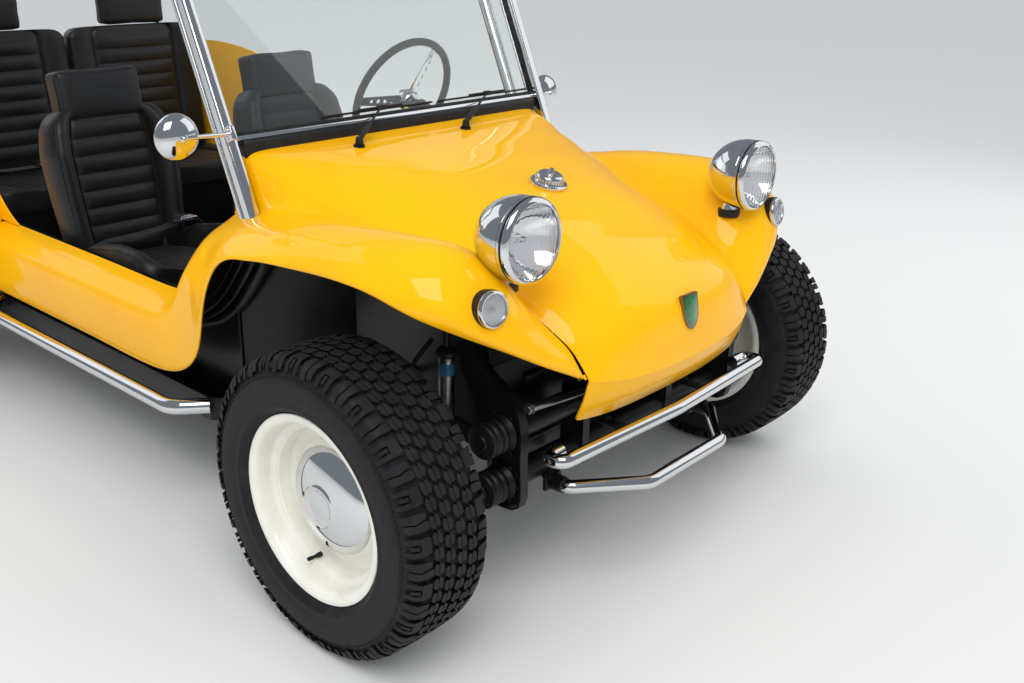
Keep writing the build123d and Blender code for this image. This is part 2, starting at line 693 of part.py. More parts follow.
def headlight_bucket():
    """Round chrome shell with a rim, on a short pedestal."""
    r = HEADLIGHT_R
    profile = make_face([
        Line((2, 0), (2, r - 8)),
        Line((2, r - 8), (6, r)),
        Line((6, r), (-22, r)),
        dome(-22, r, -100),
        Line((-122, 0), (2, 0)),
    ])
    shell = facing_front(profile, *HEADLIGHT)
    foot = bar((HEADLIGHT[0], HEADLIGHT[1] + 62, 780), (HEADLIGHT[0], HEADLIGHT[1] + 62, 830), 22)
    return shell + foot


def headlight_lens():
    """Domed glass in front of the shell."""
    r = HEADLIGHT_R - 9
    profile = make_face([
        Line((2.3, 0), (2.3, r)),
        Line((2.3, r), (8, r)),
        dome(8, r, 17),
        Line((25, 0), (2.3, 0)),
    ])
    return facing_front(profile, *HEADLIGHT)


def turn_signal():
    """Small round lamp on the front face of the fender."""
    r = TURN_SIGNAL_R
    profile = make_face([
        Line((0, 0), (0, 0.1)),
        Line((0, 0.1), (8, r * 0.55)),
        Line((8, r * 0.55), (0, r)),
        Line((0, r), (-34, r - 4)),
        Line((-34, r - 4), (-34, 0)),
        Line((-34, 0), (0, 0)),
    ])
    return facing_front(profile, *TURN_SIGNAL)


def fuel_cap():
    """Chrome filler cap with a raised grip, standing proud of the hood."""
    base = bar((0, 67, 876), (0, 62, 888), 47)
    grip = bar((0, 62, 888), (0, 57, 900), 34)
    return base + grip


def fuel_tank():
    """Tank under the hood, with its neck up to the cap."""
    tank = Pos(0, TUB_FRONT - ROD_GAP - 180, 705) * Box(480, 360, 150)
    return fillet(tank.edges(), 24)


def nose_badge():
    """Blank shield on the nose."""
    plane = Plane(origin=(0, -358, 655), x_dir=(1, 0, 0), z_dir=(0, -1, 0.18))
    face = make_face([
        Line((-29, 40), (29, 40)),
        Line((29, 40), (29, 0)),
        ThreePointArc((29, 0), (18, -28), (0, -42)),
        ThreePointArc((0, -42), (-18, -28), (-29, 0)),
        Line((-29, 0), (-29, 40)),
    ])
    return extrude(plane * face, 16)


def mirror_pod(side, x, y, z):
    """Round mirror on an arm clamped to the windshield upright."""
    plane = Plane(origin=(x, y, z), x_dir=(1, 0, 0), z_dir=(side * -0.25, 1, 0.05))
    pod = plane * Cylinder(53, 16) + plane * Pos(0, 0, -12) * Cylinder(34, 12)
    mount = (side * (SCREEN_HALF + POST_WIDTH / 2 - 4), SCREEN_Y + 12, SCREEN_Z + 26)
    return pod + bar(mount, (x - side * 40, y - 4, z), 6)


def upper_bumper():
    """Wide chrome bar whose ends turn back and inward, on two flat straps."""
    points = [(174.3, -256, 402), (418, -258, 405), (404, -330, 411), (0, -350, 411),
              (-404, -330, 411), (-418, -258, 405), (-174.3, -256, 402)]
    tube = tube_path(points, UPPER_BAR_R, [30, 30, 400, 30, 30])
    return tube


def lower_bumper():
    """Trapezoid loop below the bar."""
    front_y = -(FRONT_OVERHANG - LOWER_BAR_R)
    points = [(293, -216.3, 284), (293, -262, 284), (150, front_y, 286), (-150, front_y, 286),
              (-293, -262, 284), (-293, -216.3, 284)]
    return tube_path(points, LOWER_BAR_R, [30, 40, 40, 30])


def bumper_brackets():
    """Straps and sleeves that carry both bumpers from the beam."""
    straps = []
    for side in (-1, 1):
        straps.append(Pos(side * 160, -212.3 - 38, 402) * Box(28, 76, 8))
        foot = Pos(side * 293, -210, 284) * Box(44, 12, 44)
        straps.append(foot + bar((side * 293, -206, 290), (side * 293, -180, 306), 14))
    return straps


def side_rail():
    """Chrome rail along the pan edge, its ends turned in to the pan."""
    points = [(PAN_HALF + 1, 636, RAIL_Z), (RAIL_X, 700, RAIL_Z), (RAIL_X, REAR_Y - 660, RAIL_Z),
              (PAN_HALF + 1, REAR_Y - 600, RAIL_Z)]
    return tube_path(points, RAIL_R, 60)


def rear_bumper():
    """Chrome bar behind the engine on two stays from the axle tubes."""
    start = REAR_Y + AXLE_TUBE_R + ROD_GAP
    stay_x = 430
    knee_y = REAR_Y + 460
    bar_y = REAR_Y + REAR_OVERHANG - 19
    points = [(stay_x, start, REAR_TYRE_R), (stay_x, knee_y, REAR_TYRE_R), (stay_x, bar_y, 430),
              (-stay_x, bar_y, 430), (-stay_x, knee_y, REAR_TYRE_R), (-stay_x, start, REAR_TYRE_R)]
    return tube_path(points, 19, [40, 50, 50, 40])


# Cabin

def front_seat(x):
    """Plain solid of one bucket: cushion and high tapered back in one piece."""
    low = SEAT_BASE_Z
    front = SEAT_FRONT
    cushion = [(front + 5, low), (front, 430), (front + 25, 490), (front + 95, 500), (front + 445, 440),
               (front + 445, low)]
    back = [(front + 395, low), (front + 415, 470), (front + 510, SEAT_TOP - 12), (front + 560, SEAT_TOP),
            (front + 600, SEAT_TOP - 55), (front + 520, low)]
    shape = side_plate(back, x, 2 * SEAT_HALF - 10)
    head_half = 145
    taper = [(x - SEAT_HALF, 0), (x + SEAT_HALF, 0), (x + SEAT_HALF, 900), (x + head_half, SEAT_TOP),
             (x - head_half, SEAT_TOP), (x - SEAT_HALF, 900)]
    plane = Plane(origin=(0, 0, 0), x_dir=(1, 0, 0), z_dir=(0, -1, 0))
    shape &= extrude(plane * make_face(Polyline(*taper, close=True)), 3000, both=True)
    return side_plate(cushion, x, 2 * SEAT_HALF) + shape


def seat_mount(x):
    """Low steel stand and runners under a front seat."""
    level = PAN_Z + PAN_WALL
    runners = []
    for offset_x in (-140, 140):
        top = SEAT_BASE_Z - SEAT_GAP
        runners.append(Pos(x + offset_x, SEAT_FRONT + 225, (level + top) / 2) * Box(34, 330, top - level))
    return runners


def rear_bench():
    """Plain solid of the rear bench with its two headrests."""
    half = QUARTER_X - SKIN / 2 - BENCH_MARGIN
    low = SHELF_Z + SEAT_GAP
    cushion = [(-455, low), (-455, 590), (-400, 610), (-20, 580), (-20, low)]
    back = [(-60, low), (-20, 600), (32, 1090), (94, 1086), (90, 980), (31, low)]
    bench = side_plate(cushion, 0, 2 * half, REAR_Y) + side_plate(back, 0, 2 * half, REAR_Y)
    for side in (-1, 1):
        bench += Pos(side * 290, REAR_Y + 70, 1140) * Box(270, 60, 120)
    return bench


def steering_column():
    """Column tube from the wheel through the dash to the toe board, and the shaft to the steering box."""
    rake = math.radians(COLUMN_RAKE)
    hub = Vector(*WHEEL_CENTRE)
    run = Vector(0, -math.cos(rake), -math.sin(rake))
    top = hub + run * 26
    foot = hub + run * 610
    column = bar(top, foot, COLUMN_R)
    bore = bar(top - run * 5, top + run * 90, COLUMN_BORE)
    shaft = bar(foot - run * 12, (165, -70, 452), 9)
    return column - bore + shaft


def steering_wheel():
    """Rim, three flat spokes, hub with its shaft in the column."""
    rake = math.radians(COLUMN_RAKE)
    back = Vector(0, math.cos(rake), math.sin(rake))
    plane = Plane(origin=WHEEL_CENTRE, x_dir=(1, 0, 0), z_dir=back)
    wheel = plane * Pos(0, 0, 24) * Torus(WHEEL_RIM_R, WHEEL_RIM_TUBE_R)
    wheel += plane * Cylinder(34, 30)
    wheel += plane * Pos(0, 0, -46) * Cylinder(COLUMN_BORE - SPINDLE_CLEARANCE, 64)
    for angle in (90, 210, 330):
        spoke = Rot(0, 0, angle) * Pos(100, 0, 12) * Rot(0, -6, 0) * Box(150, 30, 4)
        wheel += plane * spoke
    return wheel


def tie_rods():
    """Track rods joined by the drop link below the steering box."""
    z = STEER_ARM_Z - ROD_GAP - TIE_ROD_R
    reach = KINGPIN_X - 6
    rods = bar((-reach, STEER_ARM, z), (reach, STEER_ARM, z), TIE_ROD_R)
    for side in (-1, 1):
        rods += bar((side * reach, STEER_ARM, z - 14), (side * reach, STEER_ARM, z + TIE_ROD_R), 15)
    return rods


def shifter():
    """Gear lever and handbrake on the tunnel."""
    top = PAN_Z + TUNNEL_HEIGHT
    lever = bar((0, 1000, top), (0, 1000, top + 14), 30) + bar((0, 1000, top + 6), (0, 1060, top + 260), 6)
    lever += Pos(0, 1060, top + 262) * Sphere(21)
    brake = Pos(0, 1160, top + 12) * Box(34, 60, 24) + bar((0, 1165, top + 14), (0, 1320, top + 96), 8)
    return [lever, brake]


def pedals():
    """Clutch, brake and throttle levers with their pads, standing on the pan."""
    level = PAN_Z + PAN_WALL
    # x, pad width, pad height
    table = [(250, 56, 52), (330, 56, 52), (410, 44, 96)]
    levers = []
    for x, width, height in table:
        lever = bar((x, 520, level), (x, 500, 470), 7)
        pad = Plane(origin=(x, 502, 476), x_dir=(1, 0, 0), z_dir=(0, 1, 0.35)) * Box(width, height, 10)
        levers.append(lever + pad)
    return levers


def wiper(x, tip_x):
    """Wiper arm on its boss in the cowl, with the blade along the foot of the glass."""
    pivot = Vector(x, 475, 960)
    tip = screen_plane(-8).from_local_coords(Vector(-tip_x, 40, 0))
    boss = bar(pivot - Vector(0, 0, 26), pivot + Vector(0, 0, 8), 11)
    blade = bar(tip - Vector(340, 0, 0), tip + Vector(40, 0, 0), 3.5)
    return boss + bar(pivot, tip, 4) + blade


# Rear running gear

def rear_suspension():
    """Cross tube, spring plates back to the axle, bearing housings and the stub axles for the wheels."""
    gear = bar((-PLATE_X, TORSION_Y, TORSION_Z), (PLATE_X, TORSION_Y, TORSION_Z), TORSION_R)
    plate = [(TORSION_Y - 30, TORSION_Z - 30), (REAR_Y + 30, REAR_TYRE_R - 30), (REAR_Y + 30, REAR_TYRE_R + 30),
             (TORSION_Y - 30, TORSION_Z + 36)]
    for side in (-1, 1):
        gear += side_plate(plate, side * PLATE_X, PLATE_WALL)
        gear += bar((side * PLATE_X, TORSION_Y, TORSION_Z), (side * (PLATE_X + 34), TORSION_Y, TORSION_Z), 58)
        gear += bar((side * PLATE_X, REAR_Y, REAR_TYRE_R), (side * 560, REAR_Y, REAR_TYRE_R), 55)
        spindle_end = side * (REAR_WHEEL_X - 8)
        gear += bar((side * 550, REAR_Y, REAR_TYRE_R), (spindle_end, REAR_Y, REAR_TYRE_R), SPINDLE_R)
    return gear


def transaxle():
    """Gearbox and final drive with the swing axle tubes."""
    case = Pos(0, ENGINE_Y - ROD_GAP - 165, REAR_TYRE_R) * Box(190, 330, 190)
    case = fillet(case.edges().filter_by(Axis.Y), 60)
    case += bar((-130, REAR_Y, REAR_TYRE_R), (130, REAR_Y, REAR_TYRE_R), 92)
    reach = PLATE_X - PLATE_WALL / 2 - ROD_GAP
    case += bar((-reach, REAR_Y, REAR_TYRE_R), (reach, REAR_Y, REAR_TYRE_R), AXLE_TUBE_R)
    return case





def engine():
    """Air-cooled flat four: crankcase, two finned banks and heads."""
    middle = ENGINE_Y + 190
    case = Pos(0, middle, ENGINE_TOP - 125) * Box(250, 380, 250)
    for side in (-1, 1):
        case += Pos(side * 235, middle, ENGINE_TOP - 107) * Box(230, 340, 170)
        case += Pos(side * 370, middle, ENGINE_TOP - 107) * Box(50, 360, 200)
    return case


def fan_shroud():
    """Upright cooling shroud with its round fan housing and dynamo."""
    middle = REAR_Y + 260
    shroud = Pos(0, middle, ENGINE_TOP + ROD_GAP + 115) * Box(640, 110, 230)
    shroud = fillet(shroud.edges().filter_by(Axis.Y), 90)
    shroud += bar((0, middle - 56, 635), (0, middle + 80, 635), 120)
    shroud += bar((0, middle + 80, 600), (0, middle + 176, 600), 52)
    return shroud


def exhaust():
    """Cross silencer below the rear bumper with two tail pipes."""
    middle = REAR_Y + 560
    box = bar((-300, middle, 300), (300, middle, 300), 62)
    for side in (-1, 1):
        box += bar((side * 120, middle, 270), (side * 120, middle + 108, 262), 17)
        box += bar((side * 270, middle, 300), (side * 360, middle - 140, 300), 20)
    return box


def tail_light():
    """Round lamp on the tail panel."""
    r = 45
    profile = make_face([
        Line((-22, 0), (-22, r * 0.5)),
        Line((-22, r * 0.5), (-12, r)),
        Line((-12, r), (20, r)),
        Line((20, r), (20, 0)),
        Line((20, 0), (-22, 0)),
    ])
    return facing_front(profile, 470, REAR_Y + 472, 760)


def without(part, *others):
    """The piece cut back where its neighbours pass through or seat on it, largest solid kept."""
    for other in others:
        part -= other
    return part.solids().sort_by(SortBy.VOLUME)[-1]


def save(name, part):
    """Writes one sub-part, moved from the axle's frame to the car's."""
    os.makedirs("parts", exist_ok=True)
    placed = Pos(0, FRONT_AXLE_Y, 0) * part
    export_step(placed, f"parts/{name}.step")


def main():
    cage_raw = roll_cage()
    pan = floor_pan()
    cage = without(cage_raw, pan)
    rear_wheel_space = bar((0, REAR_Y, REAR_TYRE_R), (900, REAR_Y, REAR_TYRE_R), REAR_CROWN_R + 4)
    fender_left, fender_right = both_sides(without(front_fender(), rear_wheel_space, cage))
    nose = without(hood(), fender_left, fender_right, cage)
    gear = steering_gear()
    column = steering_column() + gear
    frame = without(windshield_frame(), fender_left, fender_right, nose)
    beam = front_beam()
    motor = engine()
    tail = without(rear_body(), cage)
    tub = without(footwell_tub(), pan, fender_left, fender_right, column, cage)
    pieces = {
        "hood": nose,
        "front_fenders": group([fender_left, fender_right]),
        "floor_pan": pan,
        "footwell_tub": tub,
        "rear_body": tail,
        "rear_fenders": group(both_sides(rear_fender())),
        "rear_bulkhead": without(rear_bulkhead(), pan),
        "dashboard": without(dashboard(), column),
        "windshield_frame": frame,
        "windshield_seals": group([windshield_gasket(), without(cowl_seal(nose), frame, cage, nose)]),
        "windshield_glass": windshield_glass(),
        "wipers": group([without(wiper(-245, 50), nose), without(wiper(133, 460), nose)]),
        "roll_cage": cage,
        "headlight_shells": group(both_sides(without(headlight_bucket(), fender_left))),
        "headlight_lenses": group(both_sides(headlight_lens())),
        "turn_signals": group(both_sides(without(turn_signal(), fender_left))),
        "tail_lights": group(both_sides(without(tail_light(), tail))),
        "fuel_cap": without(fuel_cap(), nose),
        "fuel_tank": fuel_tank(),
        "nose_badge": without(nose_badge(), nose),
        "mirrors": group([without(mirror_pod(-1, -700, 550, 1010), frame),
                          without(mirror_pod(1, 700, 674, 967), frame)]),
        "upper_bumper": upper_bumper(),
        "lower_bumper": lower_bumper(),
        "bumper_brackets": group([without(bracket, beam) for bracket in bumper_brackets()]),
        "side_rails": group(both_sides(without(side_rail(), pan))),
        "rear_bumper": rear_bumper(),
        "front_seats": group([front_seat(SEAT_X), front_seat(-SEAT_X)]),
        "seat_mounts": group(seat_mount(SEAT_X) + seat_mount(-SEAT_X)),
        "rear_bench": rear_bench(),
        "steering_column": column,
        "steering_wheel": steering_wheel(),
        "tie_rods": tie_rods(),
        "gear_and_brake_levers": group(shifter()),
        "pedals": group([without(lever, pan) for lever in pedals()]),
        "front_beam": beam,
        "trailing_arms": group([solid for arm in trailing_arms() for solid in both_sides(arm)]),
        "front_shocks": group(front_shocks()),
        "rear_suspension": rear_suspension(),
        "transaxle": transaxle(),
        "engine": motor,
        "fan_shroud": fan_shroud(),
        "exhaust": without(exhaust(), motor),
    }
    for side, upright in zip(("left", "right"), both_sides(knuckle())):
        pieces[f"knuckle_{side}"] = upright
    front = wheel_set(FRONT_TYRE_R, FRONT_TYRE_W, FRONT_RIM_W, FRONT_WHEEL_X, 0, HUB_FACE_X)
    rear = wheel_set(REAR_TYRE_R, REAR_TYRE_W, REAR_RIM_W, REAR_WHEEL_X, REAR_Y, HUB_FACE_X)
    for end, parts in (("front", front), ("rear", rear)):
        for name, part in parts.items():
            for side, solid in zip(("left", "right"), both_sides(part)):
                pieces[f"{end}_{name}_{side}"] = solid
    for name, part in pieces.items():
        save(name, part)


main()
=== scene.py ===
import json
import math

import bmesh
import bpy
from mathutils import Matrix, Vector


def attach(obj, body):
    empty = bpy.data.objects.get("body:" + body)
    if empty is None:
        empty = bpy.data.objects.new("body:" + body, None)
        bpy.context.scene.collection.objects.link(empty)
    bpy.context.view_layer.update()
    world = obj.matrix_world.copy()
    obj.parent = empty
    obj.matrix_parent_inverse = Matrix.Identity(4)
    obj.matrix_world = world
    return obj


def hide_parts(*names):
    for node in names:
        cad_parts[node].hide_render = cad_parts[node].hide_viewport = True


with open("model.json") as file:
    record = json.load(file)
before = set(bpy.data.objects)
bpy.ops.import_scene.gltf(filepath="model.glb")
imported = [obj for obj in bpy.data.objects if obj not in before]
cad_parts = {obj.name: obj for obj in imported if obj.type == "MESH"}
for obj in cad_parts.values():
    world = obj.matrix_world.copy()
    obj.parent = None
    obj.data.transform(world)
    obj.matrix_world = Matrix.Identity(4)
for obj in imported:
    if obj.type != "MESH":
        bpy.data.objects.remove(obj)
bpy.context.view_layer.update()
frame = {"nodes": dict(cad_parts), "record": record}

bl_info = {
    "name": "Beach Buggy Maker",
    "version": (1, 0, 0),
    "blender": (4, 5, 0),
    "location": "View3D > Sidebar > Buggy",
    "description": "Builds the looks of a four-seat beach buggy round its packed frame",
    "category": "Add Mesh",
}

# Places are in millimetres from the front axle, as the body was measured. The nose points to -Y and the
# car's left is +X. Profiles of turned parts are rows of (along the axis, radius), also in millimetres.
AXLE_MM = -1340.0
SIDES = ((1, "left"), (-1, "right"))
LEFT, BACK, AHEAD, UP = (1, 0, 0), (0, 1, 0), (0, -1, 0), (0, 0, 1)
POLE = 0.01         # radius at the end of a closed profile; the pole is merged to one point
ORIGIN = (0, 0, 0)


def at(x, y, z):
    """A place in millimetres from the front axle, in the frame's metres."""
    return Vector((x, y + AXLE_MM, z)) / 1000


def mm(x, y, z):
    """A step, or a place in a piece's own axes, in millimetres."""
    return Vector((x, y, z)) / 1000


def tilted(place, degrees, axis="X"):
    """The matrix that turns a piece about one axis and then moves it to a place."""
    return Matrix.Translation(place) @ Matrix.Rotation(math.radians(degrees), 4, axis)


def aimed(place, direction, start=UP):
    """The matrix that turns one direction into another and then moves to a place."""
    turn = Vector(start).rotation_difference(Vector(direction))
    return Matrix.Translation(Vector(place)) @ turn.to_matrix().to_4x4()


# Materials: one way in for colours, one for nodes


def linear(code):
    """An sRGB hex colour as linear red, green, blue and alpha."""
    parts = [int(code[i:i + 2], 16) / 255 for i in (1, 3, 5)]
    return tuple(p / 12.92 if p <= 0.04045 else ((p + 0.055) / 1.055) ** 2.4 for p in parts) + (1.0,)


def add_node(tree, kind, inputs=None, **settings):
    """One node with its settings, its sockets' values and its incoming links."""
    made = tree.nodes.new(kind)
    for key, value in settings.items():
        setattr(made, key, value)
    for key, value in (inputs or {}).items():
        if isinstance(value, bpy.types.NodeSocket):
            tree.links.new(value, made.inputs[key])
        else:
            made.inputs[key].default_value = value
    return made


# What a relief can follow: a texture node, its output, its settings, and its scale for features 1 m wide
PATTERNS = {
    "grit": ("ShaderNodeTexNoise", "Fac", {}, 1.0),
    "pebbles": ("ShaderNodeTexVoronoi", "Distance", {"feature": "DISTANCE_TO_EDGE"}, 1.0),
    "cells": ("ShaderNodeTexVoronoi", "Distance", {}, 1.0),
    "ribs": ("ShaderNodeTexWave", "Fac", {}, math.tau / 20),
}


def make_finish(label, cloud, stops=(), rough=None, relief=None, onto="Normal", **shader):
    """
    A material whose shader sockets are set by name. The cloud, a noise of (size in mm, detail), drives the
    colour through stops of (position, hex) and the roughness between two values. The relief is a pattern with
    its size in mm, its detail, its depth in mm and its strength.
    """
    made = bpy.data.materials.new(label)
    made.use_nodes = True
    tree = made.node_tree
    tree.nodes.clear()
    place = add_node(tree, "ShaderNodeTexCoord").outputs["Object"]
    sockets = {key.replace("_", " "): value for key, value in shader.items()}
    if cloud:
        factor = add_node(tree, "ShaderNodeTexNoise", {
            "Vector": place, "Scale": 1000 / cloud[0], "Detail": cloud[1]}).outputs["Fac"]
    if stops:
        ramp = add_node(tree, "ShaderNodeValToRGB", {"Fac": factor})
        for element, (position, code) in zip(ramp.color_ramp.elements, (stops[0], stops[-1])):
            element.position, element.color = position, linear(code)
        for position, code in stops[1:-1]:
            ramp.color_ramp.elements.new(position).color = linear(code)
        sockets["Base Color"] = ramp.outputs["Color"]
    if rough:
        mapped = add_node(tree, "ShaderNodeMapRange", {"Value": factor, "To Min": rough[0], "To Max": rough[1]})
        sockets["Roughness"] = mapped.outputs["Result"]
    if relief:
        pattern, size_mm, detail, depth_mm, strength = relief
        kind, output, settings, unit = PATTERNS[pattern]
        inputs = {"Vector": place, "Scale": unit * 1000 / size_mm}
        if detail is not None:
            inputs["Detail"] = detail
        height = add_node(tree, kind, inputs, **settings).outputs[output]
        sockets[onto] = add_node(tree, "ShaderNodeBump", {
            "Height": height, "Distance": depth_mm / 1000, "Strength": strength}).outputs["Normal"]
    surface = add_node(tree, "ShaderNodeBsdfPrincipled", sockets)
    add_node(tree, "ShaderNodeOutputMaterial", {"Surface": surface.outputs["BSDF"]})
    return made


def gelcoat(label, code, deep):
    """Polished polyester gelcoat on glass fibre: deep colour under a wet gloss, with faint orange peel."""
    return make_finish(
        label, (260, 3), ((0.3, deep), (0.7, code)), relief=("grit", 9, 1, 0.12, 0.35), onto="Coat Normal",
        Roughness=0.45, IOR=1.5, Specular_IOR_Level=0.06, Coat_Weight=0.6, Coat_Roughness=0.03, Coat_IOR=1.45)


def satin_paint(label, code, low=0.30, high=0.54):
    """Brushed-on chassis enamel over pressed steel: half gloss with dust in the low places."""
    return make_finish(label, (70, 6), ((0.35, code), (0.85, "#1B1A1A")), (low, high),
                       ("grit", 3, 2, 0.15, 0.5), IOR=1.5, Specular_IOR_Level=0.3)


def chrome():
    """Plated and buffed steel: a clear mirror with a trace of polishing haze."""
    return make_finish("Chrome plate", (45, 5), rough=(0.03, 0.11), Metallic=1.0, Base_Color=linear("#DADCDE"))


def stove_enamel(label, code, shade):
    """Stove enamel on pressed steel: a smooth gloss that goes a little uneven in the hollows."""
    return make_finish(label, (60, 4), ((0.3, shade), (0.7, code)), relief=("grit", 60, 4, 0.2, 0.2),
                       Roughness=0.3, IOR=1.5, Coat_Weight=0.6, Coat_Roughness=0.08)


def tyre_rubber():
    """Moulded tread rubber: dull carbon black, with fine pits and a little gravel dust."""
    return make_finish(
        "Tyre rubber", (38, 8), ((0.4, "#141416"), (0.62, "#1C1C1E"), (0.9, "#383633")), (0.5, 0.8),
        ("grit", 1.6, 3, 0.3, 0.6), IOR=1.5, Specular_IOR_Level=0.35)


def moulded_rubber(label, code="#141415"):
    """Extruded weather rubber or moulded plastic: smooth, matt and slightly dusty."""
    return make_finish(label, (24, 4), ((0.4, code), (0.8, "#232324")), (0.42, 0.62),
                       IOR=1.5, Specular_IOR_Level=0.4)


def vinyl():
    """Expanded vinyl over foam: pebbled grain about 2 mm across, soft sheen on the worn tops."""
    return make_finish(
        "Black vinyl", (120, 4), ((0.35, "#0F0F11"), (0.75, "#1A1A1C")), (0.36, 0.52),
        ("pebbles", 2.2, None, 0.25, 0.5), IOR=1.5, Specular_IOR_Level=0.45, Sheen_Weight=0.08,
        Sheen_Roughness=0.4)


def clear_glass(label, code, low, high):
    """Flat or moulded lamp glass: water clear, with a trace of wiped-on haze."""
    return make_finish(label, (150, 3), rough=(low, high),
                       Base_Color=linear(code), Transmission_Weight=1.0, IOR=1.5)


def fluted_glass():
    """Pressed lamp glass with upright flutes about 14 mm apart, which break up the bowl behind."""
    return make_finish("Fluted lamp glass", None, relief=("ribs", 13.8175, None, 0.6, 0.5),
                       Base_Color=linear("#FFFFFF"), Transmission_Weight=1.0, IOR=1.45, Roughness=0.02)


def belt_webbing():
    """Woven nylon webbing: black and ribbed. The ribs are drawn 4 mm apart, coarser than real, to show."""
    return make_finish(
        "Nylon webbing", (40, 4), ((0.4, "#121213"), (0.8, "#232325")), (0.5, 0.7),
        ("ribs", 3.948, None, 0.4, 0.5), IOR=1.5, Specular_IOR_Level=0.3, Sheen_Weight=0.15)


def red_acrylic():
    """Moulded acrylic tail lens: deep red, with a pattern of small prisms."""
    return make_finish("Red acrylic", None, relief=("cells", 5, None, 0.6, 0.6),
                       Base_Color=linear("#B01010"), Transmission_Weight=0.35, IOR=1.49, Roughness=0.12)


def cast_alloy():
    """Sand-cast light alloy: grey, matt and grainy, with oil darkening."""
    return make_finish("Cast alloy", (55, 5), ((0.35, "#6D6E70"), (0.7, "#8F9193")), (0.45, 0.7),
                       ("grit", 1.2, 2, 0.2, 0.6), Metallic=1.0)


def bare_metal(label, code="#A3A5A8"):
    """Machined steel or brass: bright, with patches of wear."""
    return make_finish(label, (30, 5), ((0.3, "#85878A"), (0.7, code)), (0.22, 0.4), Metallic=1.0)


def badge_enamel(label, code, deep):
    """Fired badge enamel: glossy and a little cloudy, lying in its metal tray."""
    return make_finish(label, (8, 3), ((0.35, deep), (0.7, code)),
                       Roughness=0.2, Coat_Weight=1.0, Coat_Roughness=0.04, IOR=1.5)


FINISH_MAKERS = {
    "yellow_gelcoat": lambda: gelcoat("Yellow gelcoat", buggy().body.colour_code, buggy().body.shade_code),
    "black_pan": lambda: satin_paint("Black chassis enamel", "#0D0D0E"),
    "black_gelcoat": lambda: satin_paint("Black flow-coated glass fibre", "#0B0B0C", 0.22, 0.38),
    "blue_paint": lambda: satin_paint("Blue painted band", "#2C7898", 0.30, 0.40),
    "chrome": chrome,
    "cream_enamel": lambda: stove_enamel("Cream stove enamel", "#F5F2E8", "#ECE7D9"),
    "lamp_bowl": lambda: stove_enamel("White painted lamp bowl", "#DFE1E2", "#C6C9CC"),
    "green_enamel": lambda: badge_enamel("Green badge enamel", "#1E7A3A", "#0F5A2A"),
    "tyre": tyre_rubber,
    "rubber": lambda: moulded_rubber("Weather rubber"),
    "black_rim": lambda: moulded_rubber("Moulded black plastic", "#101011"),
    "black_vinyl": vinyl,
    "webbing": belt_webbing,
    "screen_glass": lambda: clear_glass("Laminated screen glass", "#F4FAF8", 0.0, 0.02),
    "lamp_glass": lambda: clear_glass("Moulded lamp glass", "#FFFFFF", 0.01, 0.03),
    "fluted_glass": fluted_glass,
    "red_lens": red_acrylic,
    "cast_alloy": cast_alloy,
    "steel": lambda: bare_metal("Machined steel"),
    "brass": lambda: bare_metal("Darkened brass", "#8A7340"),
}
FINISHES = {}


def finish(name):
    """The finish of that name, made the first time it is asked for."""
    if name not in FINISHES:
        FINISHES[name] = FINISH_MAKERS[name]()
    return FINISHES[name]


# Handling: selection, edit mode and finishing a piece


def deselect():
    if bpy.context.mode != "OBJECT":
        bpy.ops.object.mode_set(mode="OBJECT")
    bpy.ops.object.select_all(action="DESELECT")


def pick(*pieces):
    """Makes these objects the only selected ones and the first of them the active one."""
    deselect()
    for piece in pieces:
        piece.select_set(True)
    bpy.context.view_layer.objects.active = pieces[0]


def edit(piece):
    """Opens a piece in edit mode with all of it selected."""
    pick(piece)
    bpy.ops.object.mode_set(mode="EDIT")
    bpy.ops.mesh.select_all(action="SELECT")


def close_edit():
    bpy.ops.object.mode_set(mode="OBJECT")


def face_outward(merge=0.0):
    """Turns the faces of the mesh in edit mode outward, after closing gaps of a stated size."""
    bpy.ops.mesh.select_all(action="SELECT")
    if merge:
        bpy.ops.mesh.remove_doubles(threshold=merge)
    bpy.ops.mesh.normals_make_consistent(inside=False)


def apply_modifier(piece, kind, **settings):
    """Adds one modifier, sets it and applies it."""
    pick(piece)
    modifier = piece.modifiers.new(kind.title(), kind)
    for key, value in settings.items():
        setattr(modifier, key, value)
    bpy.ops.object.modifier_apply(modifier=modifier.name)


def smooth(piece, degrees):
    pick(piece)
    bpy.ops.object.shade_smooth_by_angle(angle=math.radians(degrees))


def settle(piece, matrix):
    """Moves the mesh to its place, so that the object itself sits at the origin."""
    piece.data.transform(matrix @ piece.matrix_world)
    piece.matrix_world = Matrix.Identity(4)
    return piece


def join(pieces):
    """Several meshes as one piece."""
    pick(*pieces)
    if len(pieces) > 1:
        bpy.ops.object.join()
    return pieces[0]


def twin(piece, matrix):
    """A copy with its own mesh, moved by a matrix; a mirrored one has its faces turned back."""
    copy = piece.copy()
    copy.data = piece.data.copy()
    bpy.context.scene.collection.objects.link(copy)
    copy.data.transform(matrix)
    if matrix.determinant() < 0:
        copy.data.flip_normals()
    return copy


def with_mirror(piece):
    """The piece joined with its mirror image on the other side of the car."""
    return join([piece, twin(piece, Matrix.Scale(-1, 4, LEFT))])


def dressed(piece, finish_name, angle=30):
    """A part with its finish on, ready to be joined to parts of other materials."""
    piece.data.materials.append(finish(finish_name))
    smooth(piece, angle)
    return piece


def hand_over(piece, name, slot, *replaced, body="chassis", angle=35):
    """Names a finished piece, dresses it if it is bare, hangs it on its body and hides the frame parts it
    replaces.
    """
    piece.name = name
    if not piece.data.materials:
        dressed(piece, slot, angle)
    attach(piece, body)
    if replaced:
        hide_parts(*replaced)


def both_hands(parts, name, slot, *replaced):
    """Joins parts of several finishes, adds the mirror image and hands the pair over."""
    hand_over(with_mirror(join(parts)), name, slot, *replaced)


# Curves through measured points


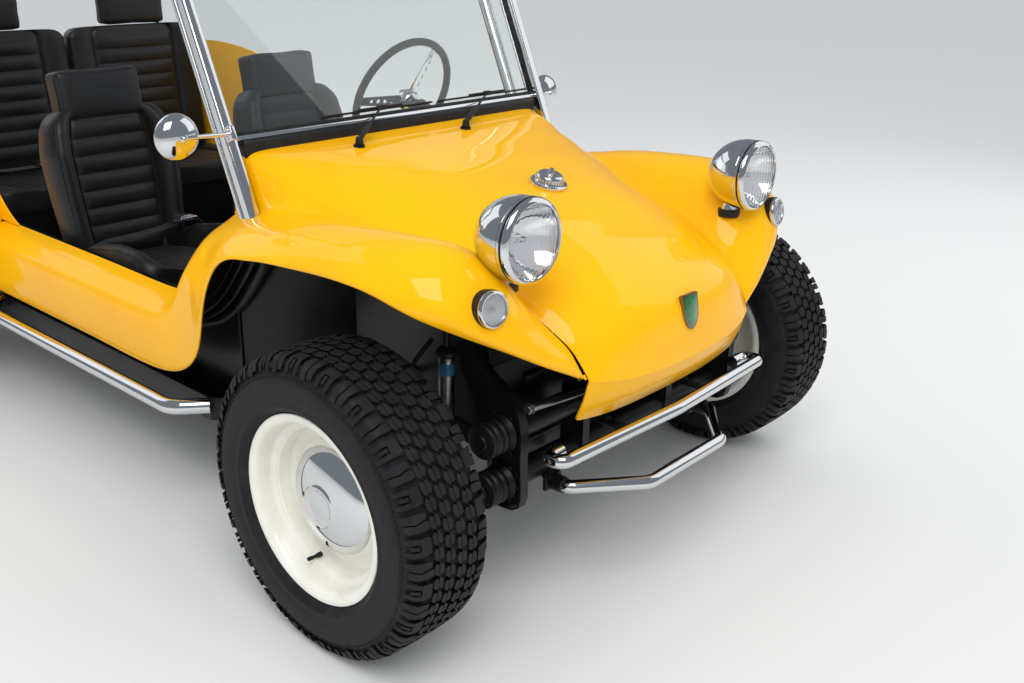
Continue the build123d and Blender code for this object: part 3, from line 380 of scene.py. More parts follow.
def blend_rows(rows, steps):
    """Extra rows between the given ones, on a smooth curve through every point."""
    dense = []
    for index in range(len(rows) - 1):
        before, start = rows[max(index - 1, 0)], rows[index]
        end, after = rows[index + 1], rows[min(index + 2, len(rows) - 1)]
        for step in range(steps):
            t = step / steps
            dense.append([
                b + (c - a) * (t / 2) + (a * 2 - b * 5 + c * 4 - d) * (t * t / 2)
                + ((b - c) * 3 + d - a) * (t ** 3 / 2)
                for a, b, c, d in zip(before, start, end, after)])
    dense.append(list(rows[-1]))
    return dense


def through_three(start, middle, end, count):
    """Points on the parabola through three places, first and last included."""
    split = (middle - start).length
    split /= split + (end - middle).length
    points = []
    for index in range(count):
        t = index / (count - 1)
        points.append(
            start * ((t - split) * (t - 1) / split) + middle * (t * (t - 1) / (split * (split - 1)))
            + end * (t * (t - split) / (1 - split)))
    return points


def sheet(rows):
    """A grid laid over rows of points."""
    deselect()
    bpy.ops.mesh.primitive_grid_add(x_subdivisions=len(rows[0]) - 1, y_subdivisions=len(rows) - 1, size=1)
    made = bpy.context.object
    for corner, point in zip(made.data.vertices, (p for row in rows for p in row)):
        corner.co = point
    return made


def drawn(places):
    """Opens a new mesh in edit mode with a line of corners, extruded one by one through the places."""
    deselect()
    bpy.ops.mesh.primitive_plane_add(size=0.001)
    made = bpy.context.object
    edit(made)
    bpy.ops.mesh.merge(type="CENTER")
    bpy.ops.transform.translate(value=places[0])
    for here, there in zip(places, places[1:]):
        bpy.ops.mesh.extrude_region_move(TRANSFORM_OT_translate={"value": there - here})
    bpy.ops.mesh.select_all(action="SELECT")
    return made


def turned(profile, centre, direction=LEFT, steps=64):
    """A profile of (along, radius) points spun about its axis."""
    made = drawn([mm(along, 0, radius) for along, radius in profile])
    bpy.ops.mesh.spin(steps=steps, angle=math.tau, center=ORIGIN, axis=LEFT)
    face_outward(merge=1e-5)
    close_edit()
    return settle(made, aimed(centre, direction, LEFT))


def lathes(spot, direction, steps, *parts):
    """Turned parts on one axis, each given as its finish and its profile."""
    return [dressed(turned(profile, at(*spot), direction, steps), slot) for slot, profile in parts]


# Shapes that come up again and again


def box(centre, size, bevel, turn=None, segments=2):
    """A block of so many millimetres with rounded edges, turned about its own middle."""
    deselect()
    bpy.ops.mesh.primitive_cube_add(size=1)
    made = bpy.context.object
    edit(made)
    bpy.ops.transform.resize(value=mm(*size))
    bpy.ops.mesh.bevel(offset=bevel / 1000, segments=segments, affect="EDGES")
    close_edit()
    return settle(made, Matrix.Translation(centre) @ (turn or Matrix.Identity(4)))


def rod(start, end, radius, tip=None, steps=28):
    """A round bar between two places, tapered when the tip has a radius of its own."""
    axis = end - start
    deselect()
    bpy.ops.mesh.primitive_cone_add(
        vertices=steps, radius1=radius / 1000, radius2=(tip or radius) / 1000, depth=axis.length)
    return settle(bpy.context.object, aimed((start + end) / 2, axis))


def plate(corners, depth, bevel, segments=2):
    """A flat outline, filled, given its thickness and broken edges."""
    made = drawn(corners)
    bpy.ops.mesh.edge_face_add()
    bpy.ops.mesh.extrude_region_move(TRANSFORM_OT_translate={"value": depth})
    face_outward()
    bpy.ops.mesh.bevel(offset=bevel / 1000, segments=segments, affect="EDGES")
    close_edit()
    return made


def bent_path(corners, radii, steps):
    """Straight runs joined by arcs, with one radius in millimetres for each inner corner."""
    path = [corners[0]]
    for before, corner, after, radius in zip(corners, corners[1:], corners[2:], radii):
        into, out = (before - corner).normalized(), (after - corner).normalized()
        half = into.angle(out) / 2
        centre = corner + (into + out).normalized() * (radius / 1000 / math.sin(half))
        first = (corner + into * (radius / 1000 / math.tan(half)) - centre).normalized()
        last = (corner + out * (radius / 1000 / math.tan(half)) - centre).normalized()
        path.extend(centre + first.slerp(last, step / steps) * (radius / 1000) for step in range(steps + 1))
    path.append(corners[-1])
    return path


def tube(corners, radius, bends=(), sides=24, steps=8):
    """A bent tube with closed ends, drawn along its middle line."""
    path = bent_path(corners, bends, steps) if bends else corners
    curve = bpy.data.curves.new("tube", "CURVE")
    curve.dimensions = "3D"
    spline = curve.splines.new("POLY")
    spline.points.add(len(path) - 1)
    for point, place in zip(spline.points, path):
        point.co = (*place, 1)
    curve.bevel_depth = radius / 1000
    curve.bevel_resolution = (sides - 4) // 2
    curve.use_fill_caps = True
    made = bpy.data.objects.new("tube", curve)
    bpy.context.scene.collection.objects.link(made)
    pick(made)
    bpy.ops.object.convert(target="MESH")
    return bpy.context.object


def bolt(centre, direction, across, height, washer):
    """A hexagon head on a washer, facing a direction."""
    deselect()
    bpy.ops.mesh.primitive_cylinder_add(
        vertices=6, radius=across / 2000 / math.cos(math.pi / 6), depth=height / 1000)
    head = bpy.context.object
    edit(head)
    bpy.ops.mesh.bevel(offset=0.0008, segments=1, affect="EDGES")
    close_edit()
    settle(head, Matrix.Translation(mm(0, 0, height / 2 + 1.5)))
    deselect()
    bpy.ops.mesh.primitive_cylinder_add(vertices=20, radius=washer / 1000, depth=0.002)
    disc = settle(bpy.context.object, Matrix.Translation(mm(0, 0, 0.5)))
    return settle(join([head, disc]), aimed(centre, direction))


# Body


def crown_height(share, square):
    """How much of the hood's crown is left at a share of its half width; a large power makes a flat top."""
    return (1 - share ** square) ** (0.9 * (2.8 / square) ** 0.44)


# Half-body stations from the cowl to the tip of the fender. Each row gives the middle of the hood (y, z),
# how square its crown is, the valley where hood and fender meet, the fender's crown, its shoulder and
# the edge of the wheel arch.
BODY_STATIONS = (
    ((600, 953), 60, (536, 592, 803), (602, 581, 785), (648, 563, 757), (700, 500, 668)),
    ((500, 944), 26, (531, 497, 814), (596, 490, 807), (650, 488, 797), (700, 452, 735)),
    ((432, 936), 9, (507, 417, 831), (588, 412, 828), (652, 408, 814), (700, 395, 762)),
    ((361, 927), 6, (489, 351, 836), (580, 350, 842), (654, 349, 824), (700, 343, 770)),
    ((300, 917), 4.6, (474, 300, 829), (575, 290, 851), (655, 283, 833), (700, 280, 780)),
    ((222, 906), 3.6, (454, 222, 818), (570, 205, 862), (656, 200, 843), (700, 200, 787)),
    ((149, 892), 3.0, (434, 149, 805), (566, 125, 868), (656, 125, 849), (700, 125, 793)),
    ((81, 878), 2.8, (416, 81, 789), (564, 55, 873), (656, 55, 852), (700, 55, 797)),
    ((8, 860), 2.8, (399, 8, 768), (560, -30, 876), (655, -30, 855), (700, -30, 797)),
    ((-60, 837), 2.8, (388, -60, 760), (530, -160, 868), (650, -135, 842), (694, -92, 787)),
    ((-130, 808), 2.8, (373, -128, 735), (480, -240, 790), (636, -212, 782), (668, -170, 756)),
    ((-195, 783), 2.8, (359, -190, 701), (440, -268, 712), (566, -266, 712), (586, -232, 708)),
    ((-240, 762), 2.8, (350, -232, 676), (415, -284, 676), (500, -286, 668), (512, -262, 670)),
    ((-325, 712), 2.8, (335, -285, 637), (366, -305, 628), (420, -304, 622), (428, -288, 624)),
    ((-362, 655), 2.8, (326, -308, 603), (340, -314, 596), (362, -312, 592), (366, -302, 594)),
    ((-370, 552), 2.8, (320, -328, 572), (326, -316, 574), (330, -314, 572), (331, -308, 573)),
)
SPLIT_ROW = 12          # from here forward the fender stands free of the nose
SLIT = 9.0              # width of the slit between them at the tip
SKIN_SEAM = 0.0012      # in metres; corners of hood and fender closer than this are one

# The sill behind the wheel: cockpit edge, crown, shoulder and lower edge.
SILL_STATIONS = (
    ((575, 662, 732), (604, 655, 725), (640, 640, 705), (694, 541, 585)),
    ((568, 739, 636), (606, 735, 630), (650, 712, 612), (674, 615, 455)),
    ((565, 784, 560), (612, 784, 545), (660, 784, 515), (660, 784, 362)),
    ((565, 1130, 560), (612, 1130, 545), (660, 1130, 515), (660, 1130, 362)),
    ((565, 1490, 560), (612, 1490, 545), (660, 1490, 515), (660, 1490, 362)),
    ((565, 1842, 560), (612, 1842, 545), (660, 1842, 515), (660, 1842, 362)),
)

# The nose below its lower crease: middle (y, z) and corner.
CHIN_STATIONS = (
    ((-368, 541), (319, -325, 561)),
    ((-350, 500), (319, -316, 520)),
    ((-300, 445), (316, -294, 467)),
)

HOOD_SHARES = (0.0, 0.2, 0.4, 0.56, 0.7, 0.8, 0.88, 0.93, 0.965, 0.985, 1.0)
CHIN_SQUARE = 2.8
# In metres: how far the fender's side bulges half way down, and how far its lower edge turns in and down
SIDE_BULGE, HEM_IN, HEM_DOWN = 0.004, 0.010, 0.002


def hood_row(middle, corner, square):
    """Points across the left half of the hood, from its middle out to the valley."""
    centre, edge = at(0, *middle), at(*corner)
    rise = Vector((0, centre.y - edge.y, centre.z - edge.z))
    return [Vector((edge.x * share, edge.y, edge.z)) + rise * crown_height(share, square)
            for share in HOOD_SHARES]


def fender_row(valley, crown, shoulder, arch):
    """Points across the left fender, from the valley over the crown to the rolled arch edge."""
    inner, top, outer, edge = at(*valley), at(*crown), at(*shoulder), at(*arch)
    row = through_three(inner, top, outer, 6)
    row.append(outer.lerp(edge, 0.5) + (outer - inner).normalized() * SIDE_BULGE)
    row.append(edge)
    hem = (inner - outer).normalized() * HEM_IN
    row.append(edge + hem + (edge - outer).normalized() * HEM_DOWN)
    return row


def body_shell():
    """Hood, nose, both front fenders and both sills, moulded in one."""
    hood_rows, fender_rows = [], []
    for index, (middle, square, valley, crown, shoulder, arch) in enumerate(BODY_STATIONS):
        hood_rows.append(hood_row(middle, valley, square))
        opened = max(0, index - SPLIT_ROW + 1) / (len(BODY_STATIONS) - SPLIT_ROW)
        root = (valley[0] + SLIT * opened, valley[1] + SLIT * opened * 0.4, valley[2])
        fender_rows.append(fender_row(root if index >= SPLIT_ROW else valley, crown, shoulder, arch))
    for middle, corner in CHIN_STATIONS:
        hood_rows.append(hood_row(middle, corner, CHIN_SQUARE))
    for station in SILL_STATIONS:
        fender_rows.insert(0, fender_row(*station))
    cowl_back = [p + Vector((0, 0.008, -0.006)) for p in hood_rows[0]]
    hood_rows.insert(0, cowl_back)
    return join([sheet(blend_rows(hood_rows, 2)), sheet(blend_rows(fender_rows, 2))])


# Wheels


# Half of a front tyre's mould from the middle of the tread to the bead: across, radius.
TYRE_MOULD = (
    (0, 334), (40, 333.5), (77, 332), (90, 328), (98, 318), (102, 306), (105, 290), (106.4, 281), (107.3, 272),
    (108.2, 256), (107.4, 243), (105.5, 234), (106.4, 231), (106.2, 226), (101, 222), (95, 215), (88, 211),
    (85.7, 208))
# The same under the tread, at the depth of the grooves.
TYRE_CASING = (
    (0, 322.5), (40, 322), (74, 320.5), (84, 317.5), (89.5, 310), (96, 300.5), (103, 291.5),
    (105.6, 286)) + TYRE_MOULD[7:]
MOULD_R, MOULD_HALF, BEAD_R, BEAD_FOOT_R = 334.0, 108.5, 208.0, 190.3
TREAD_EDGE = 58.0       # from the middle of the tread to the shoulder lugs
PITCH = 100.0           # length of the tread pattern before it repeats


def sized(points, radius, half):
    """A front tyre's profile scaled to another size over the same rim flange."""
    stretch = (radius - BEAD_R) / (MOULD_R - BEAD_R)
    return [(across * half / MOULD_HALF, BEAD_R + (r - BEAD_R) * stretch) for across, r in points]


def on_mould(mould, along):
    """The place (across, radius) so far from the middle of the tread, measured over the surface."""
    left = abs(along)
    for (a0, r0), (a1, r1) in zip(mould, mould[1:]):
        run = math.hypot(a1 - a0, r1 - r0)
        if left <= run:
            t = left / run
            return math.copysign(a0 + (a1 - a0) * t, along), r0 + (r1 - r0) * t
        left -= run
    return math.copysign(mould[-1][0], along), mould[-1][1]


def tread_patch(mould, rows):
    """The top of one tread block: rows of (along the surface, first edge, last edge) in millimetres."""
    patch = []
    for along, first, last in rows:
        across, radius = on_mould(mould, along)
        line = []
        for edge in (last, (first + last) / 2, first):
            turn = edge / MOULD_R
            line.append(Vector((across, radius * math.sin(turn), radius * math.cos(turn))) / 1000)
        patch.append(line)
    return sheet(patch)


# One pitch of the tread in millimetres: four staggered rows of three centre blocks, then lugs on the shoulder
# and sidewall, set back on the inner side, then rings of fine ribs. Blocks and lugs are rows of (place over
# the surface, first edge, last edge); blocks start at their own middle and lugs at the edge of the blocks.
BLOCK_ROWS, BLOCKS, BLOCK_STEP, STAGGER = (-45, -15.5, 15.5, 45), 3, 33.3, 16.6
BLOCK_HALVES = (((-12.4, 5, 18), (-8, 1, 25), (-0.6, 3, 29.5)), ((0.6, -1, 24), (8, 2.5, 28), (12.4, 9, 23)))
LUGS = (
    ((3, 7, 38), (13, 5, 42), (27, 5, 42)),
    ((27, 5, 16), (42, 4, 15), (56, 5, 15), (64, 6, 14)),
    ((27, 31, 42), (42, 32, 43), (56, 32, 42), (61, 33, 41)),
    ((30, 19.5, 27.5), (44, 19.5, 27.5), (50, 20, 27)),
    ((1, 56, 71), (14, 54, 73), (30, 55, 69), (44, 54, 71), (58, 56, 70)),
    ((5, 76, 88), (14, 76, 91), (30, 72, 92), (44, 74, 91), (64, 74, 90)))
SET_BACK = 25
RIB_RINGS, RIBS, RIB_STEP, RIB_LENGTH, RIB_WIDTH = ((71.5, 0), (76.5, 8.3)), 6, 16.65, 10.5, 2.2


def tread_pitch(mould, edge):
    """All the blocks of one pitch of an all-terrain tread, with the given edge of the centre blocks."""
    patches = []
    for row_index, middle in enumerate(BLOCK_ROWS):
        middle *= edge / TREAD_EDGE
        for block_index in range(BLOCKS):
            start = block_index * BLOCK_STEP + (row_index % 2) * STAGGER
            for rows in BLOCK_HALVES:
                patches.append([(middle + a, start + b, start + c) for a, b, c in rows])
    for side in (-1, 1):
        shift = 0 if side > 0 else SET_BACK
        lugs = [[(a, b + shift, c + shift) for a, b, c in rows] for rows in LUGS]
        for ring, first in RIB_RINGS:
            starts = [first + index * RIB_STEP for index in range(RIBS)]
            lugs += [[(ring + a, start, start + RIB_LENGTH) for a in (0, RIB_WIDTH)] for start in starts]
        for rows in lugs:
            rows = [(side * (edge + a), b, c) for a, b, c in rows]
            patches.append(rows if side > 0 else rows[::-1])
    made = join([tread_patch(mould, rows) for rows in patches])
    edit(made)
    bpy.ops.mesh.inset(thickness=0.0007, depth=0.0007)
    close_edit()
    return made


def tyre(radius, width, pitches):
    """A whole tyre about the X axis: casing spun from its section, tread spun from one pitch."""
    settings = buggy().tyres
    half = width / 2
    mould = sized(TYRE_MOULD, radius, half)
    casing = sized(TYRE_CASING, radius, half)
    foot = (casing[-1][0], BEAD_FOOT_R)
    section = casing + [foot] + [(-a, r) for a, r in reversed(casing + [foot])]
    carcass = turned(section, ORIGIN, steps=settings.spin_steps)
    tread = tread_pitch(mould, TREAD_EDGE * half / MOULD_HALF)
    scale = math.tau * MOULD_R / (pitches * PITCH)
    for corner in tread.data.vertices:
        turn = math.atan2(corner.co.y, corner.co.z) * (scale - 1)
        corner.co = Matrix.Rotation(-turn, 3, "X") @ corner.co
    apply_modifier(tread, "SOLIDIFY", thickness=settings.tread_depth, offset=-1.0)
    edit(tread)
    bpy.ops.mesh.spin(steps=pitches - 1, dupli=True, angle=math.tau * (pitches - 1) / pitches,
                      center=ORIGIN, axis=LEFT)
    close_edit()
    return join([carcass, tread])


def rim_section(half):
    """Flanges, seats, well, dished disc and hub of a steel rim: across from the wheel's middle, radius."""
    lip = half - 91
    face = [(86, 190), (86, 204), (87.5, 208), (89.6, 209.3), (91.4, 208), (92, 205), (91, 199), (89, 192.5),
            (86, 188.5), (78, 184.5), (62, 183), (55, 181), (50.5, 175), (47.5, 167.5), (44, 164), (38, 163)]
    disc = [(20, 162.5), (15, 161.5), (11.5, 157), (10.5, 150), (12.5, 141), (18, 132), (25.5, 126), (28, 121),
            (28, 110), (25, 97), (17, 84), (8, 80), (8, 15.1), (-62, 15.1), (-62, 88), (0, 90), (20, 106),
            (20, 124), (9, 136), (4, 148), (2, 160)]
    back = [(-45 - lip, 163), (-53 - lip, 168), (-60 - lip, 181), (-84 - lip, 184), (-88 - lip, 188),
            (-91 - lip, 196), (-92 - lip, 205), (-91 - lip, 208.5), (-88.5 - lip, 209), (-86 - lip, 205),
            (-86 - lip, 190), (-65 - lip, 187), (-57 - lip, 168), (49 + lip, 168), (57 + lip, 187),
            (86 + lip, 190)]
    return [(a + lip, r) for a, r in face] + disc + back


HUB_CAP_SECTION = (
    (27.6, 108), (28.3, 112), (28.4, 118.6), (30.2, 120.4), (32.5, 119.6), (36, 116.6), (42.5, 110),
    (48.5, 101), (53.5, 91), (57.5, 80), (60.7, 69), (63.2, 58), (64.6, 51), (65.4, 48), (66.8, 45.6),
    (68.2, 43.4), (68.8, 40.6), (68.2, 37.6), (66.9, 35.2), (66.4, 32), (66.9, 26), (67.8, 17), (68.4, 8),
    (68.6, POLE))
VALVE_SECTION = ((0, POLE), (0, 5.5), (10, 5.2), (14, 3.8), (24, 3.6), (24.4, 4.6), (34, 4.4), (36, 2.6),
                 (36, POLE))


# What a user would change


class BodySettings(bpy.types.PropertyGroup):
    colour_code: bpy.props.StringProperty(
        name="Body colour", description="sRGB hex colour of the gelcoat", default="#FFBE00")
    shade_code: bpy.props.StringProperty(
        name="Body shade", description="Slightly deeper colour where the gelcoat is thicker", default="#FFB400")
    wall: bpy.props.FloatProperty(
        name="Laminate", description="Thickness of the glass-fibre skin", default=0.005, unit="LENGTH")


class TyreSettings(bpy.types.PropertyGroup):
    tread_depth: bpy.props.FloatProperty(
        name="Tread depth", description="Height of the blocks, with the foot that sits in the casing",
        default=0.0128, unit="LENGTH")
    spin_steps: bpy.props.IntProperty(
        name="Steps", description="Segments round the casing", default=126, min=32)


class StageSettings(bpy.types.PropertyGroup):
    floor_code: bpy.props.StringProperty(
        name="Floor colour", description="sRGB hex colour of the floor and backdrop", default="#E4E3DF")
    key_power: bpy.props.FloatProperty(
        name="Key lamp", description="Power of the main soft lamp", default=125.0)
    fill_power: bpy.props.FloatProperty(
        name="Fill lamp", description="Power of the soft fill lamp", default=45.0)


class BuggySettings(bpy.types.PropertyGroup):
    body: bpy.props.PointerProperty(type=BodySettings)
    tyres: bpy.props.PointerProperty(type=TyreSettings)
    stage: bpy.props.PointerProperty(type=StageSettings)


def buggy():
    return bpy.context.scene.buggy


# Operators


class BUGGY_OT_body_shell(bpy.types.Operator):
    """Moulds the hood, nose, fenders and sills as one yellow skin with black undersides"""
    bl_idname = "buggy.body_shell"
    bl_label = "Body shell"

    def execute(self, context):
        shell = body_shell()
        for name in ("yellow_gelcoat", "black_gelcoat"):
            shell.data.materials.append(finish(name))
        edit(shell)
        bpy.ops.mesh.remove_doubles(threshold=SKIN_SEAM)
        bpy.ops.mesh.select_mode(type="VERT")
        bpy.ops.mesh.select_all(action="DESELECT")
        # The valley between hood and fender is eased, but not the hood's rear corner
        cowl, hood_corner, front = (at(0, y, 0).y for y in (600, 515, 300))
        skin = bmesh.from_edit_mesh(shell.data)
        for corner in skin.verts:
            x, y = corner.co.xy
            inner = 0.49 if y < hood_corner else 0.528
            if inner < x < 0.665 and front < y < cowl and not corner.is_boundary:
                corner.select_set(True)
        bmesh.update_edit_mesh(shell.data)
        bpy.ops.mesh.vertices_smooth(factor=0.5, repeat=5)
        close_edit()
        apply_modifier(shell, "MIRROR", use_clip=True, merge_threshold=0.0005)
        edit(shell)
        face_outward()
        close_edit()
        apply_modifier(shell, "SUBSURF", levels=2, render_levels=2)
        apply_modifier(shell, "SOLIDIFY", thickness=buggy().body.wall, offset=-1.0, material_offset=1,
                       use_even_offset=True)
        smooth(shell, 40)
        hand_over(shell, "body_shell", "yellow_gelcoat", "hood", "front_fenders")
        return {"FINISHED"}


class BUGGY_OT_wheels(bpy.types.Operator):
    """Builds the four wheels: treaded tyre, enamelled rim, chrome cap and valve"""
    bl_idname = "buggy.wheels"
    bl_label = "Wheels"

    def execute(self, context):
        for end, place, width, rim_width, pitches in (
                ("front", (720, 0, 334), 217, 182, 21), ("rear", (725, 2400, 350), 250, 208, 22)):
            stem = turned(VALVE_SECTION, ORIGIN, steps=20)
            parts = {
                "tyre": (tyre(place[2], width, pitches), "tyre", 38),
                "rim": (turned(rim_section(rim_width / 2), ORIGIN, steps=96), "cream_enamel", 30),
                "hub_cap": (turned(HUB_CAP_SECTION, ORIGIN, steps=96), "chrome", 30),
                "valve": (settle(stem, tilted(mm(30, 48.5, -149), 4, "Z")), "tyre", 30),
            }
            for sign, side in SIDES:
                spot = Matrix.Translation(at(sign * place[0], *place[1:])) @ Matrix.Diagonal((sign, 1, 1, 1))
                for kind, (part, slot, angle) in parts.items():
                    name = f"{end}_{kind}_{side}"
                    replaced = () if kind == "valve" else (name,)
                    hand_over(twin(part, spot), name, slot, *replaced, body=f"{end}_wheel_{side}", angle=angle)
            pick(*(part for part, slot, angle in parts.values()))
            bpy.ops.object.delete()
        return {"FINISHED"}


class BUGGY_OT_lamps(bpy.types.Operator):
    """Builds the headlights, turn signals and tail lights with bezels, bowls and lenses"""
    bl_idname = "buggy.lamps"
    bl_label = "Lamps"

    def execute(self, context):
        spot, foot_spot = (432.6, -248.5, 880.3), (432.6, -186.5, 790)
        quarter = [math.pi / 2 * (1 - step / 16) for step in range(17)]
        shell = [(-20 - 100 * math.sin(a), max(88.3 * math.cos(a), POLE)) for a in quarter] + [
            (-9, 88.3), (-9, 86.4), (-6.5, 86.4), (-6.5, 88.8), (-3, 89.3), (0, 88.6), (0, 82)]
        ring = ((0.2, 80), (0.2, 86.5), (4.4, 86.5), (4.4, 80))
        bezel = ((4.4, 80), (4.4, 88.0), (6.5, 89.0), (10, 88.4), (14, 86), (17, 82.6), (18.4, 79.6),
                 (17.6, 77.4), (14, 76.6), (10, 78))
        glass = ((9.5, 77.6), (13.5, 76.9), (17.5, 71), (20.8, 60), (23.2, 45), (24.6, 28), (25, 12),
                 (25, POLE))
        inside = tuple((a - 3.0, max(r - 0.6, POLE)) for a, r in reversed(glass))
        bowl = ((8.5, 77), (0, 73), (-14, 65), (-28, 53), (-39, 38), (-45, 22), (-47, 9), (-47, POLE))
        burner = ((-46, 9), (-30, 9), (-29, 7), (-20, 7), (-14, 5.5), (-11, 3), (-10, POLE))
        pad = ((-24, POLE), (-24, 29), (-8, 29), (-4, 26.5), (-4, POLE))
        foot = ((-10, POLE), (-10, 23), (-2, 22.5), (6, 18.5), (16, 17), (40, 17), (40, POLE))
        parts = lathes(spot, AHEAD, 72, ("chrome", shell), ("rubber", ring), ("chrome", bezel),
                       ("chrome", bowl))
        parts += lathes(spot, AHEAD, 24, ("lamp_glass", burner))
        parts += lathes(foot_spot, UP, 32, ("rubber", pad), ("chrome", foot))
        both_hands(parts, "headlights", "chrome", "headlight_shells")
        lens = lathes(spot, AHEAD, 72, ("fluted_glass", glass + inside))
        both_hands(lens, "headlight_lens", "lamp_glass", "headlight_lenses")

        spot, forward = (547, -259, 769), (0.1, -1, 0.14)
        gasket = ((-34, POLE), (-34, 36), (-6, 38.4), (-1, 38.4), (-1, 30))
        ring = ((-1, 34), (-0.5, 37.6), (3, 38), (7, 36.5), (9, 33.6), (8.6, 31.2), (5, 30.6))
        glass = ((3, 31), (6, 30.6), (9, 26), (10.8, 18), (11.6, 9), (12, POLE), (9, POLE), (8.6, 9), (7.8, 18),
                 (6, 26), (3, 30.2))
        bowl = ((2.4, 31), (0, 28), (-2.5, 20), (-3.5, 10), (-3.5, POLE))
        bulb = ((-3, 5), (1, 5.6), (4, 4.2), (5.5, POLE))
        parts = lathes(spot, forward, 48, ("rubber", gasket), ("chrome", ring), ("lamp_bowl", bowl))
        parts += lathes(spot, forward, 24, ("lamp_glass", bulb))
        parts += lathes(spot, forward, 48, ("fluted_glass", glass))
        both_hands(parts, "turn_signals", "lamp_glass", "turn_signals")

        gasket = ((-20, POLE), (-20, 42), (-2, 44.6), (1, 44.6), (1, 36))
        ring = ((1, 38), (1, 44), (5, 45), (9, 43.6), (11.5, 40.4), (11, 38), (8, 37.4))
        glass = ((7, 37.6), (11, 37.2), (15.5, 33), (19, 25), (21, 14), (21.6, POLE), (7, POLE))
        parts = lathes((470, 2872, 760), BACK, 48, ("rubber", gasket), ("chrome", ring), ("red_lens", glass))
        both_hands(parts, "tail_lights", "red_lens", "tail_lights")
        return {"FINISHED"}


# The windshield's own axes: across, back through the glass and up along the rake
RAKE = -23.5
SCREEN = tilted(at(0, 587, 972), RAKE)
SCREEN_HALF, POST_FOOT, SCREEN_TOP = 552.0, -186.0, 490.0
RAIL = 2 * (SCREEN_HALF - 13)       # length of the cross rails between the posts
PANE_MIDDLE = 239                   # height of the pane's middle
POST_SECTION = (
    (-15, -20), (-13.4, -23.4), (-10, -25), (10, -25), (13.4, -23.4), (15, -20), (15, -10.5), (13.6, -9),
    (11, -8.6), (11, 8.6), (13.6, 9), (15, 10.5), (15, 20), (13.4, 23.4), (10, 25), (-10, 25), (-13.4, 23.4),
    (-15, 20), (-15, 6), (-11, 5.4), (-11, -5.4), (-15, -6))


class BUGGY_OT_screen(bpy.types.Operator):
    """Builds the windshield: two deep channelled posts, rails, gasket, seal and glass"""
    bl_idname = "buggy.screen"
    bl_label = "Windshield"

    def execute(self, context):
        post = plate([mm(SCREEN_HALF + x, y, POST_FOOT) for x, y in POST_SECTION],
                     mm(0, 0, SCREEN_TOP - POST_FOOT), 0.4, 1)
        cap = box(mm(SCREEN_HALF, 0, SCREEN_TOP - 1), (31, 51, 5), 1.5)
        sill = box(mm(0, 0, 6.5), (RAIL, 24, 12), 3.5, segments=4)
        head = box(mm(0, 0, SCREEN_TOP - 12.5), (RAIL, 25, 24), 4, segments=4)
        made = settle(join([with_mirror(join([post, cap])), sill, head]), SCREEN)
        hand_over(made, "windshield_frame", "chrome", "windshield_frame", angle=30)

        strips = [box(mm(*spot), size, 3, segments=3) for spot, size in (
            ((0, 0, 17), (RAIL, 15, 10)), ((0, 0, SCREEN_TOP - 29), (RAIL, 15, 10)),
            ((RAIL / 2 - 6.5, 0, PANE_MIDDLE), (9, 15, 446)), ((6.5 - RAIL / 2, 0, PANE_MIDDLE), (9, 15, 446)),
            ((0, 1, -4), (RAIL - 20, 20, 9)))]
        seal = plate([at(-518, y, z) for y, z in (
            (562, 906), (606, 906), (607, 958), (603, 969), (592, 977), (574, 979), (566, 975), (563, 966))],
            mm(1036, 0, 0), 1.5, 1)
        gasket = settle(join(strips), SCREEN)
        hand_over(join([gasket, seal]), "windshield_seals", "rubber", "windshield_seals", angle=40)

        # The flat face keeps its own normals, so that it doesn't work as a lens
        pane = settle(box(mm(0, 0, PANE_MIDDLE), (RAIL - 18, 5.6, SCREEN_TOP - 52), 1.0), SCREEN)
        hand_over(pane, "windshield_glass", "screen_glass", "windshield_glass", angle=5)
        return {"FINISHED"}


class BUGGY_OT_wipers(bpy.types.Operator):
    """Builds the two wipers: boss, spindle and nut, arm with its head, yoke, clip and blade"""
    bl_idname = "buggy.wipers"
    bl_label = "Wipers"

    def execute(self, context):
        parts = []
        for pivot_x, tip_x in ((-245, -70), (133, 340)):
            base, pivot, tip = at(pivot_x, 478, 930), at(pivot_x, 475, 960), at(tip_x, 591.5, 1006)
            arm = tip - pivot
            parts += [
                rod(base, base + mm(0, -2, 16), 17, 14), rod(base, pivot, 7),
                rod(pivot - mm(0, 0, 12), pivot + mm(0, 0, 6), 11, 8),
                box(pivot.lerp(tip, 0.22), (arm.length * 440, 15, 9), 3.2, aimed(ORIGIN, arm, LEFT), 3),
                rod(pivot.lerp(tip, 0.4), tip, 3.4, 2.6, 12), box(tip, (150, 7, 8), 2.4, segments=3),
                box(tip, (26, 11, 13), 3, segments=3), box(tip + mm(0, 2, -4), (380, 6, 5), 1.6),
                box(tip + mm(0, 6, -5), (384, 9, 2.2), 0.7)]
        hand_over(join(parts), "wipers", "black_rim", "wipers")
        return {"FINISHED"}


